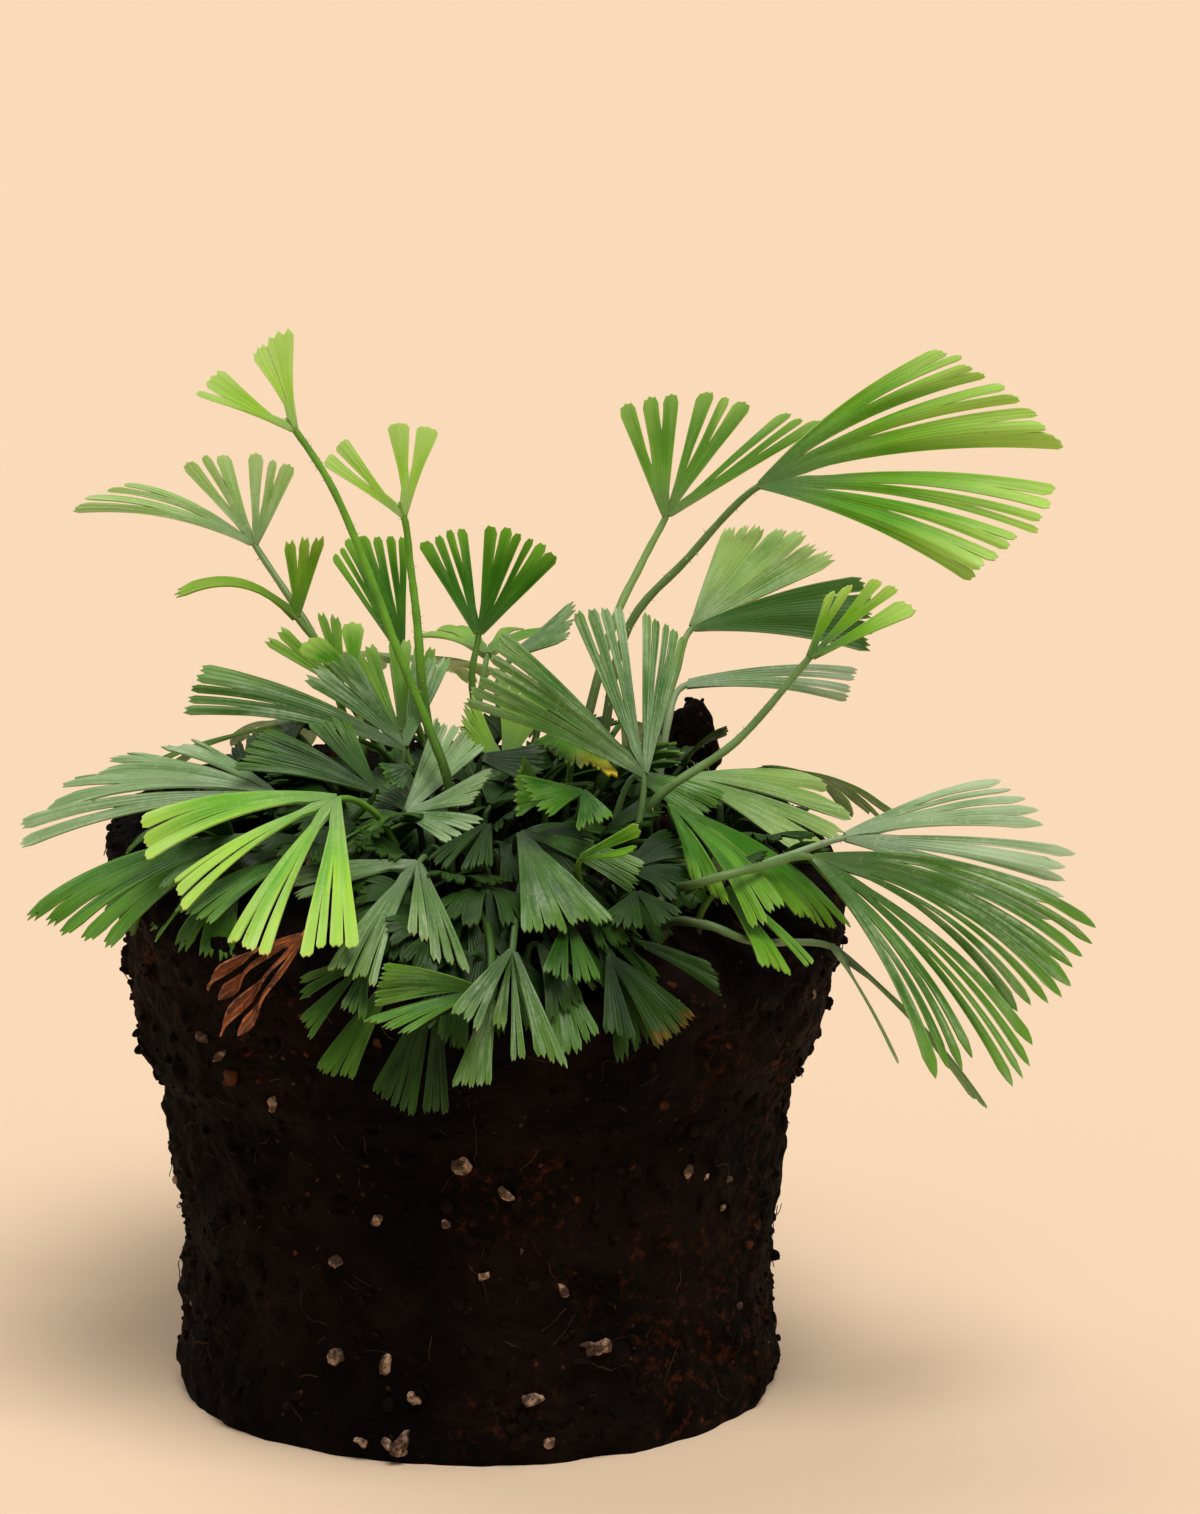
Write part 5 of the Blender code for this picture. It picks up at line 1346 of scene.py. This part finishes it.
def soil_material():
    """Moist peat: near black, redder and more fibrous in places and redder towards its right side as painted
    light, with tan flecks.
    """
    paint = Paint("peat")
    patches = paint.span(paint.clouds(110, 5, 0.65), 0.38, 0.66)
    colour = paint.mix(patches, *PEAT)
    side = paint.add("ShaderNodeSeparateXYZ", output="X", inputs={0: paint.place})
    # Redder towards the right side: painted light there, over the peat's own red patches.
    red = paint.plus(paint.clouds(75, 3, 0.6), paint.span(side, -0.01, 0.03, 0.0, 0.12))
    red = paint.times(paint.span(red, 0.52, 0.74), paint.span(paint.clouds(950, 4, 0.7), 0.5, 0.7))
    colour = paint.mix(red, colour, RED_PEAT_AND_SIDE_LIGHT)
    flecks = paint.span(paint.cells(900), 0.0, 0.22, 1.0, 0.0)
    rare = paint.span(paint.clouds(240, 2), 0.52, 0.62)
    colour = paint.mix(paint.times(flecks, rare, 0.7), colour, TAN_FLECKS)
    height = paint.times_plus(paint.cells(1500), 0.7, paint.clouds(1100, 6, 0.75))
    return paint.finish(
        Base_Color=colour,
        Roughness=paint.patchy(500, 0.75, 0.95),
        Specular_IOR_Level=0.06,
        Normal=paint.bump(height, 0.0004),
    )


def crumb_material():
    paint = Paint("crumb")
    patches = paint.span(paint.clouds(420, 3, 0.6), 0.36, 0.66)
    colour = paint.mix(patches, *CRUMB)
    bark = paint.span(paint.clouds(310, 1), 0.64, 0.69)
    colour = paint.mix(bark, colour, BARK)
    return paint.finish(
        Base_Color=colour,
        Roughness=paint.patchy(900, 0.75, 0.95),
        Specular_IOR_Level=0.07,
        Normal=paint.bump(paint.clouds(2600, 5, 0.7), 0.0002, 0.9),
    )


def perlite_material():
    paint = Paint("perlite")
    stain = paint.span(paint.clouds(760, 4, 0.7), 0.36, 0.58)
    colour = paint.mix(stain, *STAINED_PERLITE)
    pits = paint.span(paint.cells(2600), 0.0, 0.4)
    colour = paint.mix(pits, PERLITE_PITS, colour)
    return paint.finish(
        Base_Color=colour,
        Roughness=paint.patchy(900, 0.65, 0.9),
        Specular_IOR_Level=0.25,
        Normal=paint.bump(paint.plus(pits, paint.clouds(2200, 4)), 0.0002, 0.8),
    )


def fibre_material():
    paint = Paint("root_fibre")
    patches = paint.span(paint.clouds(300), 0.4, 0.65)
    return paint.finish(
        Base_Color=paint.mix(patches, *FIBRES),
        Roughness=paint.patchy(1200, 0.6, 0.85),
        Specular_IOR_Level=0.2,
        Normal=paint.bump(paint.clouds(3000), 0.00008, 0.6),
    )


def hair_material():
    paint = Paint("stem_hair")
    patches = paint.span(paint.clouds(900), 0.4, 0.65)
    return paint.finish(
        Base_Color=paint.mix(patches, *HAIRS),
        Roughness=paint.patchy(1200, 0.5, 0.7),
        Normal=paint.bump(paint.clouds(3000), 0.00004, 0.5),
    )


def soil_point(angle, radius, height):
    """A point of the root ball's side as its solid has it: swollen by slow noise, with no crumbs yet."""
    x, y = radius * math.cos(angle), radius * math.sin(angle)
    z = height
    if height > BAND_BOTTOM:
        share = (height - BAND_BOTTOM) / (SIDE_LEVELS[-1][0] - BAND_BOTTOM)
        z = BAND_BOTTOM + share * (top_height(x, y) - RIM_DROP - BAND_BOTTOM)
    broad = rough((x, y, SWELLING_STEEPNESS * z), SWELLING_SIZES[0], ROUGHNESS)
    swell = 1 + (broad + rough((x, y, z), SWELLING_SIZES[1], 0.5 * ROUGHNESS)) / radius
    return np.array((x * swell, y * swell, z))


def crumble(point):
    """How far the fine soil stands out at a point."""
    spot = Vector(point)
    clumps = 0.5 - min(1.0, noise.voronoi(spot / CRUMB_SIZE)[0][0])
    grain = noise.fractal(spot / GRAIN_SIZE, 0.8, 2.1, 4)
    pits = min(0.0, noise.noise(spot / PIT_SIZE + Vector((7, 1, 4))) + PIT_LEVEL)
    return CRUMBS * clumps + SOIL_GRAIN * grain + SOIL_PITS * pits


def soil_surface():
    """Rings up the side and in over the top, roughened along their outward direction."""
    heights = np.linspace(0, SIDE_LEVELS[-1][0], SOIL_SIDE_STEPS)
    radii = np.interp(heights, *zip(*SIDE_LEVELS))
    angles = np.arange(SOIL_ROUND) * 2 * math.pi / SOIL_ROUND
    points = []
    for height, radius in zip(heights, radii):
        for angle in angles:
            point = soil_point(angle, radius, height)
            away = np.array((math.cos(angle), math.sin(angle), 0.0))
            fade = smooth(height / FLAT_FOOT)
            point = point + away * crumble(point) * (0.4 + 0.6 * fade)
            points.append(point if height else (point[0], point[1], 0.0))
    edge = SIDE_LEVELS[-1][1]
    for inward in np.linspace(1, 0, SOIL_TOP_STEPS + 1)[1:-1]:
        for angle in angles:
            x, y = edge * inward * math.cos(angle), edge * inward * math.sin(angle)
            z = top_height(x, y) + rough((x, y, 0), TOP_SWELLING, ROUGHNESS)
            round_off = -RIM_DROP * smooth((inward - RIM_START) / ROUNDED_RIM)
            points.append((x, y, z + round_off + crumble((x, y, z))))
    return points


def make_soil(material):
    points = soil_surface()
    faces = tube_faces(len(points) // SOIL_ROUND, SOIL_ROUND)
    for first, height in ((0, 0.0), (len(points) - SOIL_ROUND, top_height(0, 0))):
        middle = len(points)
        points.append((0, 0, height))
        ring = [(first + k, first + (k + 1) % SOIL_ROUND, middle) for k in range(SOIL_ROUND)]
        faces += [face[::-1] for face in ring] if first == 0 else ring
    lump_points, lump_faces = soil_lump(len(points))
    points += lump_points
    faces += lump_faces
    mesh = bpy.data.meshes.new("soil")
    mesh.from_pydata((np.array([tuple(point) for point in points]) * MM).tolist(), [], faces)
    mesh.shade_smooth()
    mesh.materials.append(material)
    return place("soil", mesh)


def soil_lump(start):
    """The lump of peat on the rim. Its faces count their points from the start."""
    points = []
    ball = bmesh.new()
    bmesh.ops.create_icosphere(ball, subdivisions=5, radius=1)
    for vertex in ball.verts:
        swell = 1 + rough(vertex.co * LUMP_SWELLING + Vector((3, 0, 0)), 1.0, LUMP_ROUGHNESS)
        point = np.array([c + r * n * swell for c, r, n in zip(LUMP_CENTRE, LUMP_RADII, vertex.co)])
        points.append(point + np.array(vertex.co) * 0.8 * crumble(point))
    faces = [tuple(vertex.index + start for vertex in face.verts) for face in ball.faces]
    ball.free()
    return points, faces


class Growth(NodeTree):
    """A tree that lays small things over a host mesh. Its inputs are sizes, a seed and a coat."""

    def __init__(self, name, *sizes):
        super().__init__(bpy.data.node_groups.new(name, "GeometryNodeTree"))
        kinds = {"Geometry": "Geometry", **dict.fromkeys(sizes, "Float"), "Seed": "Int", "Coat": "Material"}
        for label, kind in kinds.items():
            self.tree.interface.new_socket(label, in_out="INPUT", socket_type="NodeSocket" + kind)
        self.tree.interface.new_socket("Geometry", in_out="OUTPUT", socket_type="NodeSocketGeometry")
        self.given = self.tree.nodes.new("NodeGroupInput").outputs

    def strew(self):
        """Points over the host, and the turn of the surface at each."""
        labels = {"Mesh": "Geometry", "Density": "Per square metre", "Seed": "Seed"}
        inputs = {name: self.given[label] for name, label in labels.items()}
        points = self.add("GeometryNodeDistributePointsOnFaces", output="Points", inputs=inputs)
        return points, points.node.outputs["Rotation"]

    def cut_off(self, points, side, limit):
        """The points without those on one side of a height."""
        position = self.add("GeometryNodeInputPosition")
        height = self.add("ShaderNodeSeparateXYZ", output="Z", inputs={0: position})
        inputs = {0: height, 1: self.given[limit]}
        off = self.add("FunctionNodeCompare", inputs=inputs, data_type="FLOAT", operation=side)
        inputs = {"Geometry": points, "Selection": off}
        return self.add("GeometryNodeDeleteGeometry", inputs=inputs, domain="POINT")

    def between(self, low, high, seed):
        """A random number for each point."""
        inputs = {2: low, 3: high, "Seed": seed}
        return self.add("FunctionNodeRandomValue", output=1, inputs=inputs, data_type="FLOAT")

    def vector_between(self, low, high, seed):
        """A random vector for each point."""
        inputs = {0: low, 1: high, "Seed": seed}
        return self.add("FunctionNodeRandomValue", output=0, inputs=inputs, data_type="FLOAT_VECTOR")

    def calc(self, operation, first, second):
        return self.add("ShaderNodeMath", inputs={0: first, 1: second}, operation=operation)

    def scale(self, vector, amount):
        return self.add("ShaderNodeVectorMath", inputs={0: vector, "Scale": amount}, operation="SCALE")

    def lean(self, rotation, angles):
        """A turn that is leant by angles about its own axes."""
        turns = {0: rotation, 1: self.add("FunctionNodeEulerToRotation", inputs={0: angles})}
        return self.add("FunctionNodeRotateRotation", inputs=turns, rotation_space="LOCAL")

    def copies(self, points, shape, rotation, scale):
        """A copy of a shape at each point, as real geometry."""
        inputs = {"Points": points, "Instance": shape, "Rotation": rotation, "Scale": scale}
        copies = self.add("GeometryNodeInstanceOnPoints", inputs=inputs)
        return self.add("GeometryNodeRealizeInstances", inputs={"Geometry": copies})

    def stir(self, geometry, scale, detail, amount):
        """Geometry whose points are moved by smooth noise."""
        bumps = self.add("ShaderNodeTexNoise", output="Color", inputs={"Scale": scale, "Detail": detail})
        inputs = {0: bumps, 1: (0.5, 0.5, 0.5)}
        centred = self.add("ShaderNodeVectorMath", inputs=inputs, operation="SUBTRACT")
        moved = {"Geometry": geometry, "Offset": self.scale(centred, amount)}
        return self.add("GeometryNodeSetPosition", inputs=moved)

    def finish(self, geometry):
        whole = self.add("GeometryNodeRealizeInstances", inputs={"Geometry": geometry})
        coated = {"Geometry": whole, "Material": self.given["Coat"]}
        coated = self.add("GeometryNodeSetMaterial", inputs=coated)
        end = self.tree.nodes.new("NodeGroupOutput")
        self.tree.links.new(coated, end.inputs[0])
        return self.tree


def bake(host, tree, name, **values):
    """Runs a tree on a host object and keeps the result as a plain mesh object."""
    copy = place(name + "_host", host.data)
    modifier = copy.modifiers.new("growth", "NODES")
    modifier.node_group = tree
    sockets = {item.name: item.identifier for item in tree.interface.items_tree if item.in_out == "INPUT"}
    for label, value in values.items():
        modifier[sockets[label.replace("_", " ")]] = value
    depsgraph = bpy.context.evaluated_depsgraph_get()
    mesh = bpy.data.meshes.new_from_object(copy.evaluated_get(depsgraph))
    bpy.data.objects.remove(copy)
    mesh.name = name
    return place(name, mesh)


def grain_tree():
    """Rough grains strewn over a surface, more of them small than large."""
    growth = Growth("grains", "Per square metre", "Smallest", "Largest", "Lumps", "Lowest")
    points, _ = growth.strew()
    skewed = growth.calc("POWER", growth.between(0.0, 1.0, 13), 2.2)
    limits = {"Value": skewed, "To Min": growth.given["Smallest"], "To Max": growth.given["Largest"]}
    return add_grains(growth, points, growth.add("ShaderNodeMapRange", inputs=limits))


def placed_grain_tree():
    """Rough grains at each point of a mesh, each as large as its own value says."""
    growth = Growth("placed_grains", "Lumps", "Lowest")
    points = growth.add("GeometryNodeMeshToPoints", inputs={"Mesh": growth.given["Geometry"]})
    size = growth.add("GeometryNodeInputNamedAttribute", inputs={"Name": "size"}, data_type="FLOAT")
    return add_grains(growth, points, size)


def add_grains(growth, points, size):
    points = growth.cut_off(points, "LESS_THAN", "Lowest")
    ball = growth.add("GeometryNodeMeshIcoSphere", inputs={"Radius": 1.0, "Subdivisions": 2})
    turn = growth.vector_between((0, 0, 0), (6.28, 6.28, 6.28), 11)
    shape = growth.vector_between((0.45, 0.45, 0.45), (1.5, 1.5, 1.5), 12)
    grains = growth.copies(points, ball, turn, growth.scale(shape, size))
    return growth.finish(growth.stir(grains, 1100.0, 3.0, growth.given["Lumps"]))


def fibre_tree():
    """Fine roots and peat fibres that lie over a surface and lift off it here and there."""
    growth = Growth("fibres", "Per square metre", "Length", "Thickness", "Wander", "Lowest", "Highest")
    points, rotation = growth.strew()
    points = growth.cut_off(points, "LESS_THAN", "Lowest")
    points = growth.cut_off(points, "GREATER_THAN", "Highest")
    line = growth.add("GeometryNodeCurvePrimitiveLine", inputs={"Start": (-0.5, 0, 0), "End": (0.5, 0, 0)})
    line = growth.add("GeometryNodeResampleCurve", inputs={"Curve": line, "Count": 14})
    spin = growth.add("ShaderNodeCombineXYZ", inputs={"Z": growth.between(0.0, 6.28, 21)})
    size = growth.calc("MULTIPLY", growth.between(0.4, 1.5, 22), growth.given["Length"])
    fibres = growth.copies(points, line, growth.lean(rotation, spin), size)
    fibres = growth.stir(fibres, 260.0, 2.0, growth.given["Wander"])
    ring = {"Resolution": 4, "Radius": growth.given["Thickness"]}
    ring = growth.add("GeometryNodeCurvePrimitiveCircle", inputs=ring)
    tubes = {"Curve": fibres, "Profile Curve": ring, "Fill Caps": True}
    return growth.finish(growth.add("GeometryNodeCurveToMesh", inputs=tubes))


def hair_tree():
    """Short fine hairs that stand out of the stems."""
    growth = Growth("hairs", "Per square metre", "Length", "Thickness")
    points, rotation = growth.strew()
    sizes = {"Vertices": 4, "Radius Top": 0.0, "Radius Bottom": 1.0, "Depth": 1.0}
    cone = growth.add("GeometryNodeMeshCone", inputs=sizes, fill_type="NGON")
    lean = growth.vector_between((-0.8, -0.8, 0), (0.8, 0.8, 6.28), 31)
    tall = growth.calc("MULTIPLY", growth.between(0.5, 1.5, 32), growth.given["Length"])
    shape = {0: growth.given["Thickness"], 1: growth.given["Thickness"], 2: tall}
    shape = growth.add("ShaderNodeCombineXYZ", inputs=shape)
    return growth.finish(growth.copies(points, cone, growth.lean(rotation, lean), shape))


def make_hairs():
    skin = Skin()
    for frond in FRONDS:
        if frond.name in HAIRY:
            add_stem(skin, frond, fan(frond))
    host = place("hairy_stems", skin.mesh("hairy_stems"))
    hairs = bake(
        host, hair_tree(), "stem_hairs",
        Per_square_metre=1500000.0, Length=0.00032, Thickness=0.00003, Seed=4, Coat=hair_material(),
    )
    bpy.data.objects.remove(host)
    return hairs


def perlite_points():
    """A mesh of points where the seen perlite grains lie, with a size for each."""
    points, sizes = [], []
    for degrees, height, size in PERLITE:
        angle = math.radians(degrees - 90)
        radius = float(np.interp(height, *zip(*SIDE_LEVELS)))
        point = soil_point(angle, radius, height)
        points.append(tuple(point * MM))
        sizes.append(size * 0.5 * MM)
    mesh = bpy.data.meshes.new("perlite_points")
    mesh.from_pydata(points, [], [])
    layer = mesh.attributes.new("size", "FLOAT", "POINT")
    layer.data.foreach_set("value", sizes)
    return place("perlite_points", mesh)


def dress_soil(soil):
    """Crumbs, perlite and fibres over the root ball."""
    grains, fibres = grain_tree(), fibre_tree()
    crumb, white, root = crumb_material(), perlite_material(), fibre_material()
    seen = perlite_points()
    pieces = [
        bake(
            soil, grains, "soil_crumbs",
            Per_square_metre=250000.0, Smallest=0.00013, Largest=0.00055, Lumps=0.0009, Lowest=0.001,
            Seed=3, Coat=crumb,
        ),
        bake(
            soil, grains, "soil_perlite",
            Per_square_metre=3500.0, Smallest=0.00015, Largest=0.0005, Lumps=0.0006, Lowest=0.0012,
            Seed=8, Coat=white,
        ),
        bake(
            soil, fibres, "soil_fibres",
            Per_square_metre=45000.0, Length=0.003, Thickness=0.00004, Wander=0.0032, Lowest=0.003,
            Highest=0.0425, Seed=5, Coat=root,
        ),
        bake(
            seen, placed_grain_tree(), "soil_perlite_front",
            Lumps=0.0012, Lowest=0.0012, Seed=2, Coat=white,
        ),
    ]
    bpy.data.objects.remove(seen)
    return pieces


# Stage: a floor far wider than the picture, a faint glow all round and two soft distant lights, each with
# the turn it comes from (0 in front, 90 at the plant's right), its rise, strength and softness
FLOOR_REACH = 9
FLOOR_COLOUR = (0.80, 0.61, 0.44, 1)
GLOW_COLOUR = (1.0, 0.95, 0.90, 1)
GLOW_STRENGTH = 0.25
LIGHT_COLOUR = (1.0, 0.97, 0.92)
LIGHTS = {"key": (28, 64, 2.5, 34), "back": (-140, 55, 0.9, 40)}


def make_floor():
    mesh = bpy.data.meshes.new("floor")
    corners = [(FLOOR_REACH * x, FLOOR_REACH * y, 0) for x, y in ((-1, -1), (1, -1), (1, 1), (-1, 1))]
    mesh.from_pydata(corners, [], [(0, 1, 2, 3)])
    paint = Paint("floor")
    mesh.materials.append(paint.finish(Base_Color=FLOOR_COLOUR, Roughness=1.0, Specular_IOR_Level=0.0))
    floor = place("floor", mesh)


def way_from(turn, rise):
    """The direction of what lies at a turn round the plant and a rise above it."""
    turn, rise = math.radians(turn), math.radians(rise)
    return Vector((math.sin(turn) * math.cos(rise), -math.cos(turn) * math.cos(rise), math.sin(rise)))


def make_lights():
    world = bpy.data.worlds.new("studio")
    world.use_nodes = True
    backdrop = world.node_tree.nodes["Background"]
    backdrop.inputs["Color"].default_value = GLOW_COLOUR
    backdrop.inputs["Strength"].default_value = GLOW_STRENGTH
    bpy.context.scene.world = world
    for name, (turn, rise, strength, softness) in LIGHTS.items():
        data = bpy.data.lights.new(name, "SUN")
        data.energy = strength
        data.angle = math.radians(softness)
        data.color = LIGHT_COLOUR
        light = place(name, data)
        light.location = way_from(turn, rise)
        light.rotation_euler = way_from(turn, rise).to_track_quat("Z", "Y").to_euler()
    bpy.context.scene.view_settings.view_transform = "Standard"


# The camera looks at the plant's middle from half a metre off
CAMERA_AIM = (0.0093, 0.0, 0.0485)
CAMERA_DISTANCE = 0.5
CAMERA_RISE = 12
CAMERA_LENS = 157.5
CAMERA_SENSOR = 36


def make_camera():
    data = bpy.data.cameras.new("camera")
    data.sensor_width = CAMERA_SENSOR
    data.lens = CAMERA_LENS
    data.clip_start = 0.01
    data.clip_end = 20
    camera = place("camera", data)
    way = way_from(0, CAMERA_RISE)
    camera.location = Vector(CAMERA_AIM) + CAMERA_DISTANCE * way
    camera.rotation_euler = (-way).to_track_quat("-Z", "Y").to_euler()
    bpy.context.scene.camera = camera


def main():
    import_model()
    make_camera()
    make_lights()
    make_floor()
    soil = make_soil(soil_material())
    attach(soil, "root")
    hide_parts("root_ball")
    for piece in dress_soil(soil):
        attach(piece, "root")
    leaves = {tone: leaf_material(tone) for tone in LOOKS}
    leaves["dead"] = dead_material()
    others, small = list(FRONDS), []
    for name, storey in STOREYS.items():
        grown, piece = make_undergrowth(name, storey, others, leaves[storey.look])
        others += grown
        small.append(piece)
    for piece in [*small, make_hairs()]:
        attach(piece, "root")
    for frond in FRONDS:
        piece = make_frond(frond, leaves[LOOK_OF.get(frond.name, frond.tone)])
        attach(piece, "root")
        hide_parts("frond_" + frond.name)


main()
